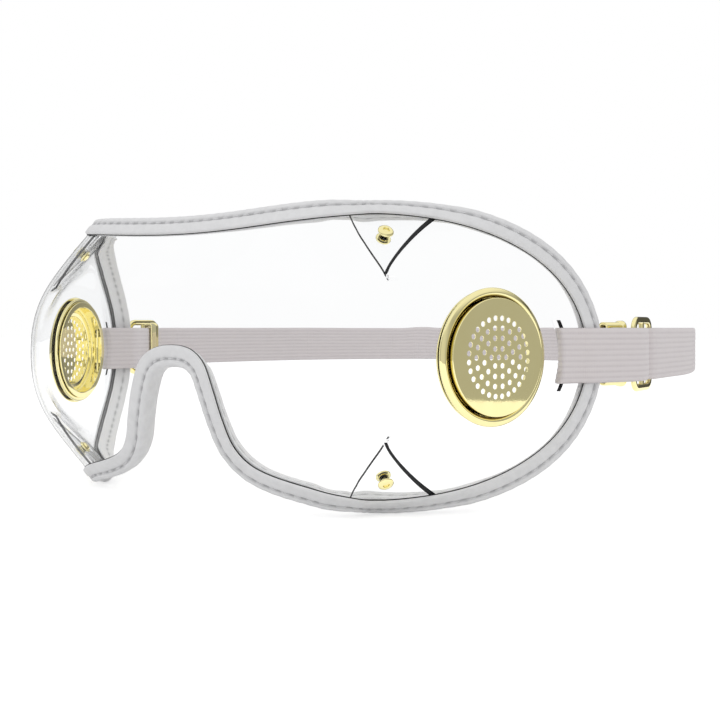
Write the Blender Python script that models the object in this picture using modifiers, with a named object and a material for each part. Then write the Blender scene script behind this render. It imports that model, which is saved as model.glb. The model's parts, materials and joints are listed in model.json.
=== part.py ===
"""Racing goggles: a wrap-round sheet lens with four pinched darts, two perforated brass vents,
a padded edge all round and an elastic head band held by brass sliders.

Metres, +Z up. The origin is the point midway between the two vents: +X runs to the
wearer's left vent as the viewer in front sees it on the right, +Y runs back to the head.
"""

import math

import bmesh
import bpy
import numpy as np
from mathutils import Matrix, Vector

MM = 0.001

# Clearances and tool sizes
CLEARANCE = 0.3 * MM
CUTTER_OVERRUN = 3.0 * MM
MERGE_LIMIT = 0.01 * MM
NORMAL_STEP = 0.2 * MM

# Lens sheet, seen from above: a flat front, a round corner and a straight side
SHEET_THICKNESS = 0.8 * MM
FRONT_RUN = 53.0 * MM
CORNER_RADIUS = 19.0 * MM
SIDE_RUN = 28.8 * MM
TEMPLE_RUN = 35.4 * MM
FRONT_HEADING = math.radians(-1.5)
SIDE_HEADING = math.radians(67.5)
TEMPLE_HEADING = math.radians(62.5)
CORNER_EASE = 4.0 * MM
PLAN_STEPS = 1200

# How far the sheet falls back towards the face at its upper and lower edge
FALL_HEIGHT = 38.5 * MM
FALL_POWER = 2.3
FRONT_FALL = 8.5 * MM
CORNER_FALL = 19.5 * MM
CORNER_FALL_SPREAD = 15.0 * MM
SIDE_FALL = 20.0 * MM
SIDE_FALL_SHARES = (
    (-1.46, 1.0), (-0.97, 0.975), (-0.65, 0.8), (-0.42, 0.6), (-0.17, 0.435),
    (0.17, 0.35), (0.45, 0.225), (0.71, 0.125), (0.97, 0.025), (1.4, 0.0),
)
CORNER_BLEND = 5.0 * MM

# The corner is softened towards the sheet's edges, where the darts gather it
SOFTENING = 9.0 * MM
SOFTENING_START = 12.0 * MM
SOFTENING_FADE = 22.0 * MM
SOFTENING_WEIGHTS = (
    (-1.5, 0.09), (-1.0, 0.15), (-0.5, 0.18), (0.0, 0.16), (0.5, 0.18), (1.0, 0.15), (1.5, 0.09),
)

# Sight line: the inner edge of the binding, drawn on the sheet
LOBE_START = 79.0 * MM
LOBE_HALF_HEIGHT = 38.9 * MM
BROW_HEIGHT = 35.3 * MM
NOSE_TOP = 3.0 * MM
NOSE_FOOT = -29.0 * MM
NOSE_HALF_WIDTH = 24.5 * MM
NOSE_SHARES = (
    (0.0, 0.0), (0.17, 0.01), (0.35, 0.055), (0.515, 0.17),
    (0.637, 0.395), (0.735, 0.64), (0.833, 0.853), (1.0, 1.0),
)
CHEEK_SHARES = ((0.116, 0.295), (0.327, 0.585), (0.48, 0.78), (0.725, 0.95), (1.0, 1.0))

# Binding and face pad
BINDING_COVER = 3.4 * MM
BINDING_WALL = 0.8 * MM
ROLL_REACH = 6.3 * MM
ROLL_DEPTH = 5.6 * MM
STITCH_LINE = 3.8 * MM
STITCH_DIP = 0.4 * MM
ROLL_CREST = 4.9 * MM
PAD_REACH = 4.85 * MM
PAD_LIP = 1.2 * MM

# Darts
DART_APEX_RUN = 72.8 * MM
DART_APEX_HEIGHT = 22.1 * MM
DART_SLIT = 2.0 * MM
DART_SLIT_GAP = 0.25 * MM
DART_HEIGHT = 15.0 * MM
DART_OUTER_SPREAD = 20.0 * MM
DART_INNER_SPREAD = 18.6 * MM
DART_CURVE_POWER = 1.2
FLAP_GAP = 0.5 * MM
FLAP_FADE = 11.0 * MM
FLAP_RELIEF_RUN = 50.0 * MM
FLAP_RELIEF_END = 98.0 * MM
FLAP_RELIEF_FADE = 9.0 * MM

# Dart rivets
RIVET_RUN = 76.0 * MM
RIVET_INSET = 5.5 * MM
RIVET_HEAD_RADIUS = 2.2 * MM
RIVET_HEAD_HEIGHT = 0.9 * MM
RIVET_HEAD_RIM = 0.35 * MM
RIVET_BORE_RADIUS = 0.75 * MM
RIVET_BORE_DEPTH = 0.6 * MM
RIVET_SHANK_RADIUS = 1.0 * MM
RIVET_FLARE_RADIUS = 1.6 * MM
RIVET_FLARE_HEIGHT = 0.5 * MM
BURR_RADIUS = 2.1 * MM
BURR_THICKNESS = 0.5 * MM
RIVET_SIDES = 12

# Vents
VENT_RADIUS = 19.0 * MM
VENT_FLANGE_HEIGHT = 1.3 * MM
VENT_FLANGE_EDGE = 0.7 * MM
VENT_FLANGE_CREST = 17.6 * MM
VENT_FLANGE_DIP = 0.7 * MM
VENT_CUP_RADIUS = 16.15 * MM
VENT_CUP_RISE = 1.1 * MM
VENT_CUP_WALL = 0.8 * MM
VENT_CUP_EDGE = 0.35 * MM
VENT_DISH_RADIUS = 12.3 * MM
VENT_DISH_STEP = 1.2 * MM
VENT_LIP_RADIUS = 17.3 * MM
VENT_LIP_HEIGHT = 0.5 * MM
VENT_RING_RADIUS = 18.5 * MM
VENT_RING_HEIGHT = 0.9 * MM
VENT_FLAT_MARGIN = 3.0 * MM
VENT_FLAT_FADE = 9.0 * MM
VENT_SIDES = 32
HOLE_RADIUS = 0.72 * MM
HOLE_SIDES = 5
HOLE_RING_PITCH = 2.66 * MM
HOLES_PER_RING = 6
HOLE_RINGS = 3
OUTER_HOLES = 28

# Strap slots in the lens
SLOT_SETBACK = 26.8 * MM
SLOT_HALF_HEIGHT = 10.2 * MM
SLOT_WIDTH = 2.4 * MM
SLOT_BOW_RADIUS = 20.0 * MM
SLOT_STEPS = 8

# Elastic strap
STRAP_WIDTH = 16.0 * MM
STRAP_THICKNESS = 1.3 * MM
STRAP_EDGE = 0.25 * MM
STRAP_BOW_FADE = 6.0 * MM
BAND_HALF_WIDTH = 105.0 * MM
BAND_REAR = 216.0 * MM
BAND_STEP = 7.0 * MM
BAND_FINE_POINTS = 8
LOOP_STEP = 2.0 * MM

# Slider: a three-bar frame that the strap threads
SLIDER_PLACE_X = 106.2 * MM
SLIDER_PLACE_Y = 56.3 * MM
SLIDER_LENGTH = 17.3 * MM
SLIDER_HEIGHT = 22.7 * MM
SLIDER_THICKNESS = 1.6 * MM
SLIDER_CORNER = 4.0 * MM
SLIDER_RAIL = 2.3 * MM
SLIDER_BAR = 1.9 * MM
SLIDER_BEVEL = 0.3 * MM
CORNER_STEPS = 5

# Keeper: a flat brass sleeve round the inner leg of the strap
KEEPER_PLACE_X = 98.3 * MM
KEEPER_PLACE_Y = 52.8 * MM
KEEPER_HEADING = math.radians(62.0)
KEEPER_LENGTH = 8.0 * MM
KEEPER_HEIGHT = 19.5 * MM
KEEPER_THICKNESS = 3.9 * MM
KEEPER_WALL = 0.8 * MM
KEEPER_BEAD = 0.45 * MM

# Mesh densities
FRONT_COLUMN_STEP = 4.6 * MM
DART_COLUMNS = 9
TEMPLE_COLUMNS = 6
TEMPLE_END_ANGLE = math.radians(83)
UPPER_ROW_SHARES = (0.2, 0.37)
FLAP_ROWS = 3


def clear_scene():
    """Remove every object of the scene."""
    for item in list(bpy.data.objects):
        bpy.data.objects.remove(item, do_unlink=True)


def make_collection(name):
    """Add a collection to the scene."""
    group = bpy.data.collections.new(name)
    bpy.context.scene.collection.children.link(group)
    return group


def make_material(name, colour, roughness, metallic=0.0, alpha=1.0):
    """Make a Principled material."""
    material = bpy.data.materials.new(name)
    material.use_nodes = True
    shader = material.node_tree.nodes["Principled BSDF"]
    shader.inputs["Base Color"].default_value = (*colour, 1.0)
    shader.inputs["Roughness"].default_value = roughness
    shader.inputs["Metallic"].default_value = metallic
    shader.inputs["Alpha"].default_value = alpha
    return material


def smooth_share(value):
    """Ease a share from 0 to 1 with level ends."""
    share = np.clip(value, 0.0, 1.0)
    return share * share * (3.0 - 2.0 * share)


# Plan curve of the sheet

CORNER_TURN = SIDE_HEADING - FRONT_HEADING
CORNER_RUN = CORNER_RADIUS * CORNER_TURN
CORNER_END = FRONT_RUN + CORNER_RUN
VENT_RUN = CORNER_END + SIDE_RUN
SIGHT_END = VENT_RUN + TEMPLE_RUN
PLAN_END = SIGHT_END + BINDING_COVER + ROLL_REACH


def plan_curve():
    """Integrate the sheet's heading along its run, at mid height, from the centre outwards.

    Returns the runs, headings, x and y. The vent's centre lies at y = 0.
    """
    turn_rate = CORNER_TURN / CORNER_RUN
    runs = np.linspace(0.0, PLAN_END, PLAN_STEPS)
    stations = (
        0.0, FRONT_RUN - CORNER_EASE, FRONT_RUN + CORNER_EASE,
        CORNER_END - CORNER_EASE, CORNER_END + CORNER_EASE, VENT_RUN, SIGHT_END,
    )
    headings = (
        FRONT_HEADING, FRONT_HEADING, FRONT_HEADING + turn_rate * CORNER_EASE,
        SIDE_HEADING - turn_rate * CORNER_EASE, SIDE_HEADING, SIDE_HEADING, TEMPLE_HEADING,
    )
    heading = np.interp(runs, stations, headings)
    mean = (heading[1:] + heading[:-1]) / 2
    step = runs[1] - runs[0]
    x = np.concatenate([[0.0], np.cumsum(np.cos(mean)) * step])
    y = np.concatenate([[0.0], np.cumsum(np.sin(mean)) * step])
    return runs, heading, x, y - np.interp(VENT_RUN, runs, y)


PLAN = plan_curve()
VENT_CENTRE = np.array([np.interp(VENT_RUN, PLAN[0], PLAN[2]), 0.0, 0.0])
VENT_AXIS = np.array([math.sin(SIDE_HEADING), -math.cos(SIDE_HEADING), 0.0])


def edge_fall(run):
    """How far the sheet's edges lie behind its mid line at a run from the centre."""
    corner_middle = FRONT_RUN + CORNER_RUN / 2
    bell = np.exp(-((run - corner_middle) / CORNER_FALL_SPREAD) ** 2)
    front = FRONT_FALL + (CORNER_FALL - FRONT_FALL) * bell
    stations = [VENT_RUN + share * SIDE_RUN for share, _ in SIDE_FALL_SHARES]
    side = SIDE_FALL * np.interp(run, stations, [fall for _, fall in SIDE_FALL_SHARES])
    blend = smooth_share((run - corner_middle + CORNER_BLEND) / (2 * CORNER_BLEND))
    return front * (1 - blend) + side * blend


def raw_sheet_points(run, height):
    """Points of the sheet before its corner is softened and its vent seats are flattened."""
    reach = np.abs(run)
    runs, headings, xs, ys = PLAN
    heading = np.interp(reach, runs, headings)
    fall = edge_fall(reach) * (np.abs(height) / FALL_HEIGHT) ** FALL_POWER
    x = np.interp(reach, runs, xs) - np.sin(heading) * fall
    y = np.interp(reach, runs, ys) + np.cos(heading) * fall
    return np.stack([np.copysign(x, run), y, height + 0.0 * x], axis=-1)


def sheet_points(run, height):
    """Points on the middle of the sheet at signed runs and heights, as an array of x, y, z."""
    run = np.asarray(run, dtype=float)
    height = np.asarray(height, dtype=float)
    spread = SOFTENING * smooth_share((np.abs(height) - SOFTENING_START) / SOFTENING_FADE)
    points = sum(
        weight * raw_sheet_points(run + offset * spread, height)
        for offset, weight in SOFTENING_WEIGHTS
    )
    points[..., 0] *= np.where(run < 0, -1.0, 1.0)
    offset = points - VENT_CENTRE
    lift = offset @ VENT_AXIS
    radius = np.sqrt(np.maximum((offset ** 2).sum(axis=-1) - lift ** 2, 0.0))
    flat = 1 - smooth_share((radius - VENT_RADIUS - VENT_FLAT_MARGIN) / VENT_FLAT_FADE)
    points = points - VENT_AXIS * (lift * flat)[..., None]
    points[..., 0] *= np.where(run < 0, -1.0, 1.0)
    return points


def sheet_slopes(run, height):
    """Change of the sheet's point with run and with height."""
    along = sheet_points(run + NORMAL_STEP, height) - sheet_points(run - NORMAL_STEP, height)
    up = sheet_points(run, height + NORMAL_STEP) - sheet_points(run, height - NORMAL_STEP)
    return along / (2 * NORMAL_STEP), up / (2 * NORMAL_STEP)


def sheet_normals(run, height):
    """Outward unit normals of the sheet."""
    along, up = sheet_slopes(run, height)
    normal = np.cross(along, up)
    return normal / np.linalg.norm(normal, axis=-1, keepdims=True)


# Outlines on the sheet

def rounded_path(points, steps):
    """Catmull-Rom curve through points, with the given steps to each span."""
    points = np.asarray(points, dtype=float)
    padded = np.vstack([2 * points[0] - points[1], points, 2 * points[-1] - points[-2]])
    share = np.linspace(0.0, 1.0, steps, endpoint=False)[:, None]
    pieces = []
    for index in range(1, len(padded) - 2):
        before, start, end, after = padded[index - 1:index + 3]
        pieces.append(0.5 * (
            2 * start + (end - before) * share
            + (2 * before - 5 * start + 4 * end - after) * share ** 2
            + (3 * start - before - 3 * end + after) * share ** 3
        ))
    pieces.append(points[-1:])
    return np.vstack(pieces)


def half_sight_line():
    """Sight line of the right half, from the brow's centre round the lobe to the nose."""
    run = np.linspace(0.0, LOBE_START, 40, endpoint=False)
    rise = (1 - np.cos(np.pi * run / LOBE_START)) / 2
    brow = np.stack([run, BROW_HEIGHT + (LOBE_HALF_HEIGHT - BROW_HEIGHT) * rise], axis=-1)
    angle = np.linspace(math.pi / 2, -math.pi / 2, 80, endpoint=False)
    lobe_length = SIGHT_END - LOBE_START
    lobe = np.stack([
        LOBE_START + lobe_length * np.cos(angle), LOBE_HALF_HEIGHT * np.sin(angle),
    ], axis=-1)
    lower = [
        (NOSE_HALF_WIDTH * across, NOSE_TOP + (NOSE_FOOT - NOSE_TOP) * down)
        for across, down in NOSE_SHARES
    ]
    lower += [
        (NOSE_HALF_WIDTH + (LOBE_START - NOSE_HALF_WIDTH) * across,
         NOSE_FOOT + (-LOBE_HALF_HEIGHT - NOSE_FOOT) * down)
        for across, down in CHEEK_SHARES
    ]
    return np.vstack([brow, lobe, rounded_path(lower, 12)[::-1]])


def closed_sight_line():
    """The whole sight line as a closed loop without a repeated point."""
    half = half_sight_line()
    mirrored = half[::-1] * (-1.0, 1.0)
    return np.vstack([half, mirrored[1:-1]])


def path_lengths(points):
    """Distance along a path at each of its points."""
    steps = np.linalg.norm(np.diff(points, axis=0), axis=1)
    return np.concatenate([[0.0], np.cumsum(steps)])


def pushed_out(loop, distance):
    """Move a closed loop of runs and heights outwards on the sheet by a real distance.

    The loop starts at the brow, where outwards is up.
    """
    points = sheet_points(loop[:, 0], loop[:, 1])
    tangent = np.roll(points, -1, axis=0) - np.roll(points, 1, axis=0)
    tangent /= np.linalg.norm(tangent, axis=1, keepdims=True)
    normal = sheet_normals(loop[:, 0], loop[:, 1])
    outward = np.cross(normal, tangent)
    outward /= np.linalg.norm(outward, axis=1, keepdims=True)
    outward *= np.sign(outward[0, 2])
    along, up = sheet_slopes(loop[:, 0], loop[:, 1])
    solved = np.array([
        np.linalg.lstsq(np.stack([a, u], axis=1), o * distance, rcond=None)[0]
        for a, u, o in zip(along, up, outward)
    ])
    climb = distance / np.linalg.norm(up, axis=1) * np.sign(loop[:, 1])
    straight = np.stack([0.0 * climb, climb], axis=-1)
    past = smooth_share((np.abs(loop[:, 0]) - FRONT_RUN) / CORNER_BLEND + 1)
    share = past * (1 - smooth_share((np.abs(loop[:, 0]) - VENT_RUN) / CORNER_BLEND + 1))
    return loop + solved * (1 - share[:, None]) + straight * share[:, None]


def dart_outer_edge(height):
    """Run of the outer flap's edge at a height above or below the dart's apex."""
    rise = np.clip((np.abs(height) - DART_APEX_HEIGHT) / DART_HEIGHT, 0.0, None)
    return DART_APEX_RUN + DART_OUTER_SPREAD * rise ** DART_CURVE_POWER


def dart_inner_edge(height):
    """Run of the hidden flap's edge at a height above or below the dart's apex."""
    rise = np.clip((np.abs(height) - DART_APEX_HEIGHT) / DART_HEIGHT, 0.0, None)
    return DART_APEX_RUN - DART_INNER_SPREAD * rise


def flap_sink(run, height):
    """How far the side panel passes under the front panel at a dart."""
    past = np.abs(height) - (DART_APEX_HEIGHT - DART_SLIT)
    ramp = np.clip(past / DART_SLIT, 0.0, 1.0)
    beyond = run - dart_outer_edge(height)
    fade = 1 - smooth_share((beyond - SHEET_THICKNESS) / FLAP_FADE)
    return (SHEET_THICKNESS + FLAP_GAP) * ramp * fade


class SheetLayout:
    """Where the sheet's rows and columns of points lie, as runs and heights."""

    def __init__(self):
        edge = pushed_out(closed_sight_line(), BINDING_COVER)
        half = edge[:len(half_sight_line())]
        tip = int(np.argmax(half[:, 0]))
        lower = half[tip:]
        self.upper_edge = half[:tip + 1]
        self.lower_edge = lower[np.argsort(lower[:, 0])]
        self.end = half[tip, 0]
        half_height = (self.top(DART_APEX_RUN) - self.bottom(DART_APEX_RUN)) / 2
        self.root = (DART_APEX_HEIGHT - DART_SLIT) / half_height
        start = DART_APEX_HEIGHT / half_height
        upper = [*UPPER_ROW_SHARES, self.root, start]
        upper += [start + (1 - start) * (index + 1) / FLAP_ROWS for index in range(FLAP_ROWS)]
        self.shares = np.array([-share for share in reversed(upper)] + [0.0] + upper)
        self.outer_seam = self.seam(dart_outer_edge, -DART_SLIT_GAP)
        self.inner_seam = self.seam(dart_inner_edge, DART_SLIT_GAP)
        self.front_columns = self.spaced_front_columns()
        self.side_columns = self.spaced_side_columns()

    def top(self, run):
        """Height of the sheet's upper edge at a run."""
        return np.interp(np.abs(run), self.upper_edge[:, 0], self.upper_edge[:, 1])

    def bottom(self, run):
        """Height of the sheet's lower edge at a run."""
        return np.interp(np.abs(run), self.lower_edge[:, 0], self.lower_edge[:, 1])

    def height(self, run, share):
        """Height of a row at a run."""
        middle = (self.top(run) + self.bottom(run)) / 2
        return middle + (self.top(run) - self.bottom(run)) / 2 * share

    def seam(self, edge, gap):
        """Runs of a flap's edge on every row: the dart's root row and below it stay joined."""
        runs = []
        for share in self.shares:
            run = DART_APEX_RUN
            if abs(share) > self.root + MERGE_LIMIT:
                for _ in range(12):
                    run = float(edge(self.height(run, share)))
                run += gap if abs(run - DART_APEX_RUN) < DART_SLIT_GAP else 0.0
            runs.append(run)
        return np.array(runs)

    def spaced_front_columns(self):
        """Runs of the front panel's columns: no wide step at mid height or on its lower edge."""
        fine = np.linspace(0.0, DART_APEX_RUN, 400)
        lower = np.diff(path_lengths(sheet_points(fine, self.bottom(fine))))
        spaced = np.concatenate([[0.0], np.cumsum(np.maximum(lower, np.diff(fine)))])
        count = int(round(spaced[-1] / FRONT_COLUMN_STEP))
        half = np.interp(np.linspace(0.0, spaced[-1], count + 1), spaced, fine)
        return np.concatenate([-half[:0:-1], half])

    def spaced_side_columns(self):
        """Runs of a side panel's columns: even to the vent, then closer towards the temple."""
        near = np.linspace(DART_APEX_RUN, VENT_RUN, DART_COLUMNS, endpoint=False)
        length = self.end - LOBE_START
        start = math.asin((VENT_RUN - LOBE_START) / length)
        turn = np.linspace(start, TEMPLE_END_ANGLE, TEMPLE_COLUMNS + 1)
        return np.concatenate([near, LOBE_START + length * np.sin(turn)])

    def front_runs(self, column):
        """Runs of one front column's rows: near the darts the columns follow the outer flap."""
        start = DART_APEX_RUN / 2
        weight = smooth_share((abs(column) - start) / start)
        return column + np.copysign(weight * (self.outer_seam - DART_APEX_RUN), column)

    def side_runs(self, column):
        """Runs of one side column's rows: near the darts the columns follow the hidden flap."""
        span = VENT_RUN - DART_APEX_RUN
        weight = 1 - smooth_share((column - DART_APEX_RUN) / span)
        return column + weight * (self.inner_seam - DART_APEX_RUN)

    def panel(self, columns, runs_of, sink):
        """Points of one panel as a grid of columns and rows."""
        grid = []
        for column in columns:
            runs = runs_of(column)
            heights = self.height(runs, self.shares)
            drop = sink(runs, heights)[:, None]
            grid.append(sheet_points(runs, heights) - sheet_normals(runs, heights) * drop)
        return np.array(grid)

    def border(self):
        """Stations round the sheet's edge that lie on its columns, from the brow clockwise."""
        front = [self.front_runs(column) for column in self.front_columns if column > -MERGE_LIMIT]
        side = [self.side_runs(column) for column in self.side_columns]
        half = []
        for row in (-1, 0):
            runs = [column[row] for column in front]
            reach = runs[-1] + FRONT_COLUMN_STEP / 2
            runs += [column[row] for column in side if column[row] > reach]
            heights = [float(self.height(run, self.shares[row])) for run in runs]
            half.append(list(zip(runs, heights)))
        tip = [(self.side_columns[-1], 0.0)]
        right = np.array(half[0] + tip + half[1][::-1])
        left = right[-2:0:-1] * (-1.0, 1.0)
        return np.vstack([right, left])


def add_mesh(name, points, faces, group, material=None):
    """Make a mesh object from points and faces."""
    mesh = bpy.data.meshes.new(name)
    mesh.from_pydata([tuple(map(float, point)) for point in points], [], faces)
    mesh.validate()
    item = bpy.data.objects.new(name, mesh)
    group.objects.link(item)
    if material is not None:
        mesh.materials.append(material)
    return item


def orient_faces(item, merge=True):
    """Merge a mesh's doubles and turn its faces outwards."""
    work = bmesh.new()
    work.from_mesh(item.data)
    if merge:
        bmesh.ops.remove_doubles(work, verts=work.verts, dist=MERGE_LIMIT)
    bmesh.ops.recalc_face_normals(work, faces=work.faces)
    work.to_mesh(item.data)
    work.free()


def shade(item, angle=math.radians(35)):
    """Shade a mesh smooth, with creases at sharp edges."""
    item.data.shade_smooth()
    item.data.set_sharp_from_angle(angle=angle)


def strip_faces(first, second):
    """Quads between two rows of point numbers."""
    return [
        (first[i], second[i], second[i + 1], first[i + 1]) for i in range(len(first) - 1)
    ]


def build_lens(layout, group, cutters, material):
    """The one-piece sheet lens, with an outer and a hidden flap at each of its four darts."""
    front = layout.panel(
        layout.front_columns, layout.front_runs, lambda run, height: 0.0 * run)
    side = layout.panel(layout.side_columns, layout.side_runs, flap_sink)
    points = list(front.reshape(-1, 3))
    rows = len(layout.shares)
    faces = []
    for column in range(len(front) - 1):
        start = column * rows
        faces += strip_faces(range(start, start + rows), range(start + rows, start + 2 * rows))
    for direction in (1, -1):
        joined = (len(front) - 1) * rows if direction > 0 else 0
        previous = []
        for index, share in enumerate(layout.shares):
            if abs(share) <= layout.root + MERGE_LIMIT:
                previous.append(joined + index)
            else:
                previous.append(len(points))
                points.append(side[0, index] * (direction, 1, 1))
        for column in side[1:]:
            current = list(range(len(points), len(points) + rows))
            points += list(column * (direction, 1, 1))
            pair = (previous, current) if direction > 0 else (current, previous)
            faces += strip_faces(*pair)
            previous = current
    lens = add_mesh("lens", points, faces, group, material)
    orient_faces(lens, merge=False)
    solid = lens.modifiers.new("sheet", "SOLIDIFY")
    solid.thickness = SHEET_THICKNESS
    solid.offset = 0.0
    for side_sign in (1, -1):
        cut(lens, vent_hole_cutter(side_sign, cutters))
        cut(lens, slot_cutter(side_sign, cutters))
        for upper in (1, -1):
            cut(lens, rivet_hole_cutter(side_sign, upper, cutters))
    shade(lens)
    return lens


def cut(item, cutter):
    """Cut one object out of another."""
    step = item.modifiers.new(cutter.name, "BOOLEAN")
    step.operation = "DIFFERENCE"
    step.solver = "EXACT"
    step.object = cutter


def hide_cutter(item):
    """Show a cutter as a wire and leave it out of renders."""
    item.hide_render = True
    item.display_type = "WIRE"
    return item


def axis_matrix(place, axis):
    """Matrix that puts an object's Z along an axis at a place."""
    turn = Vector(axis).to_track_quat("Z", "Y").to_matrix().to_4x4()
    return Matrix.Translation(Vector(place)) @ turn


def cylinder_cutter(name, radius, depth, sides, matrix, cutters):
    """A round cutter centred on a place."""
    work = bmesh.new()
    bmesh.ops.create_cone(
        work, cap_ends=True, segments=sides, radius1=radius, radius2=radius, depth=depth)
    mesh = bpy.data.meshes.new(name)
    work.to_mesh(mesh)
    work.free()
    item = bpy.data.objects.new(name, mesh)
    cutters.objects.link(item)
    item.matrix_world = matrix
    return hide_cutter(item)


def side_name(side_sign):
    """Name ending of the right or left side."""
    return "R" if side_sign > 0 else "L"


def vent_frame(side_sign):
    """Matrix of a vent: its Z is the outward axis, its origin the middle of the sheet."""
    flip = np.array([side_sign, 1, 1])
    return axis_matrix(VENT_CENTRE * flip, VENT_AXIS * flip)


def vent_hole_cutter(side_sign, cutters):
    """Cutter of the round hole that a vent's cup passes through."""
    return cylinder_cutter(
        "vent_hole_" + side_name(side_sign), VENT_CUP_RADIUS + CLEARANCE,
        2 * CUTTER_OVERRUN, VENT_SIDES, vent_frame(side_sign), cutters)


def rivet_frame(side_sign, upper):
    """Matrix of a dart rivet: its Z is the outward axis, its origin the outer flap's middle."""
    run = np.array([RIVET_RUN * side_sign])
    height = np.array([(LOBE_HALF_HEIGHT - RIVET_INSET) * upper])
    return axis_matrix(sheet_points(run, height)[0], sheet_normals(run, height)[0])


def rivet_hole_cutter(side_sign, upper, cutters):
    """Cutter of the hole that a rivet's shank passes through, in both flaps."""
    name = f"rivet_hole_{side_name(side_sign)}_{'top' if upper > 0 else 'bottom'}"
    return cylinder_cutter(
        name, RIVET_SHANK_RADIUS + CLEARANCE, 2 * CUTTER_OVERRUN,
        RIVET_SIDES, rivet_frame(side_sign, upper), cutters)


def slot_bow(height):
    """How far the slot's line lies forward of its middle at a height."""
    return SLOT_BOW_RADIUS - np.sqrt(SLOT_BOW_RADIUS ** 2 - np.asarray(height) ** 2)


def slot_frame(side_sign):
    """Slot's place, its rearward direction and its outward direction, in plan."""
    run = VENT_RUN + SLOT_SETBACK
    place = sheet_points(np.array([run]), np.array([0.0]))[0]
    heading = np.interp(run, PLAN[0], PLAN[1])
    rearward = np.array([math.cos(heading), math.sin(heading), 0.0])
    outward = np.array([math.sin(heading), -math.cos(heading), 0.0])
    flip = np.array([side_sign, 1, 1])
    return place * flip, rearward * flip, outward * flip


def slot_cutter(side_sign, cutters):
    """Cutter of the bowed slot that the strap passes through."""
    place, rearward, outward = slot_frame(side_sign)
    heights = np.linspace(-SLOT_HALF_HEIGHT, SLOT_HALF_HEIGHT, SLOT_STEPS + 1)
    outline = []
    for width, order in ((SLOT_WIDTH / 2, heights), (-SLOT_WIDTH / 2, heights[::-1])):
        for height in order:
            outline.append((width - slot_bow(height), height))
    count = len(outline)
    points = [
        place + rearward * back + outward * depth + np.array([0.0, 0.0, height])
        for depth in (-CUTTER_OVERRUN, CUTTER_OVERRUN) for back, height in outline
    ]
    faces = [tuple(range(count)), tuple(range(2 * count - 1, count - 1, -1))]
    faces += [
        (i, (i + 1) % count, count + (i + 1) % count, count + i) for i in range(count)
    ]
    item = add_mesh("slot_" + side_name(side_sign), points, faces, cutters)
    orient_faces(item)
    return hide_cutter(item)


# Edge binding and face pad

def flap_relief(run):
    """Room behind the sheet's edge for the hidden flaps at the darts."""
    rise = smooth_share((np.abs(run) - FLAP_RELIEF_RUN + FLAP_RELIEF_FADE) / FLAP_RELIEF_FADE)
    fall = smooth_share((np.abs(run) - FLAP_RELIEF_END) / FLAP_RELIEF_FADE)
    return (SHEET_THICKNESS + FLAP_GAP + CLEARANCE) * rise * (1 - fall)


def edge_frames(layout):
    """Stations round the sheet's edge: run, place on the sight line, outward and forward."""
    border = layout.border()
    sight = pushed_out(border, -BINDING_COVER)
    places = sheet_points(sight[:, 0], sight[:, 1])
    outward = sheet_points(border[:, 0], border[:, 1]) - places
    outward /= np.linalg.norm(outward, axis=1, keepdims=True)
    ahead = sheet_normals(border[:, 0], border[:, 1])
    ahead -= outward * (ahead * outward).sum(axis=1, keepdims=True)
    ahead /= np.linalg.norm(ahead, axis=1, keepdims=True)
    return border[:, 0], places, outward, ahead


def binding_profile():
    """Section of the binding: distance out from the sight line, distance in front of the sheet.

    A tape lies on the sheet's front, dips at its stitch line and rolls round the pad's outside.
    """
    seat = SHEET_THICKNESS / 2 + CLEARANCE
    face = seat + BINDING_WALL
    inner_reach = ROLL_REACH - BINDING_WALL
    middle = -ROLL_DEPTH / 3
    hem = BINDING_WALL - ROLL_DEPTH
    return [
        (0.0, seat), (0.0, face), (STITCH_LINE - BINDING_WALL, face),
        (STITCH_LINE, face - STITCH_DIP), (ROLL_CREST, face - STITCH_DIP / 2),
        (ROLL_REACH - BINDING_WALL / 2, seat), (ROLL_REACH, middle),
        (inner_reach, hem), (inner_reach - BINDING_WALL, hem + BINDING_WALL / 2),
        (inner_reach, middle), (ROLL_CREST, 0.0), (STITCH_LINE, seat),
    ]


def pad_profile(relief):
    """Section of the foam roll behind the sheet's edge: thin at its inner lip, full inside the roll."""
    front = -(SHEET_THICKNESS / 2 + CLEARANCE + relief)
    back = -ROLL_DEPTH
    shoulder = (2 * front + back / 3) / 3 - CLEARANCE
    crown = PAD_REACH - 2 * BINDING_WALL
    return [
        (BINDING_WALL, front), (STITCH_LINE, front), (PAD_REACH - BINDING_WALL / 4, shoulder),
        (PAD_REACH, back / 2), (crown + BINDING_WALL / 2, back + BINDING_WALL / 4), (crown, back),
        (PAD_LIP, front - PAD_LIP), (BINDING_WALL / 2, front - PAD_LIP / 2),
    ]


def swept_edge(name, profile_at, layout, group, material):
    """Carry a section round the sheet's edge as one closed ring."""
    runs, places, outward, forward = edge_frames(layout)
    points = []
    for run, place, out, ahead in zip(runs, places, outward, forward):
        for reach, lift in profile_at(run):
            points.append(place + out * reach + ahead * lift)
    count = len(runs)
    size = len(points) // count
    faces = []
    for index in range(count):
        following = (index + 1) % count
        for corner in range(size):
            turned = (corner + 1) % size
            faces.append((
                index * size + corner, following * size + corner,
                following * size + turned, index * size + turned,
            ))
    item = add_mesh(name, points, faces, group, material)
    orient_faces(item)
    shade(item)
    return item


# Turned pieces

def turned(name, profile, matrix, group, material, sides):
    """Turn a closed profile of (radius, height) points about the local Z."""
    mesh = bpy.data.meshes.new(name)
    edges = [(i, (i + 1) % len(profile)) for i in range(len(profile))]
    mesh.from_pydata([(radius, 0.0, height) for radius, height in profile], edges, [])
    item = bpy.data.objects.new(name, mesh)
    group.objects.link(item)
    screw = item.modifiers.new("turn", "SCREW")
    screw.steps = sides
    screw.render_steps = sides
    screw.use_merge_vertices = True
    screw.merge_threshold = MERGE_LIMIT
    item.matrix_world = matrix
    mesh.materials.append(material)
    return item


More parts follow.
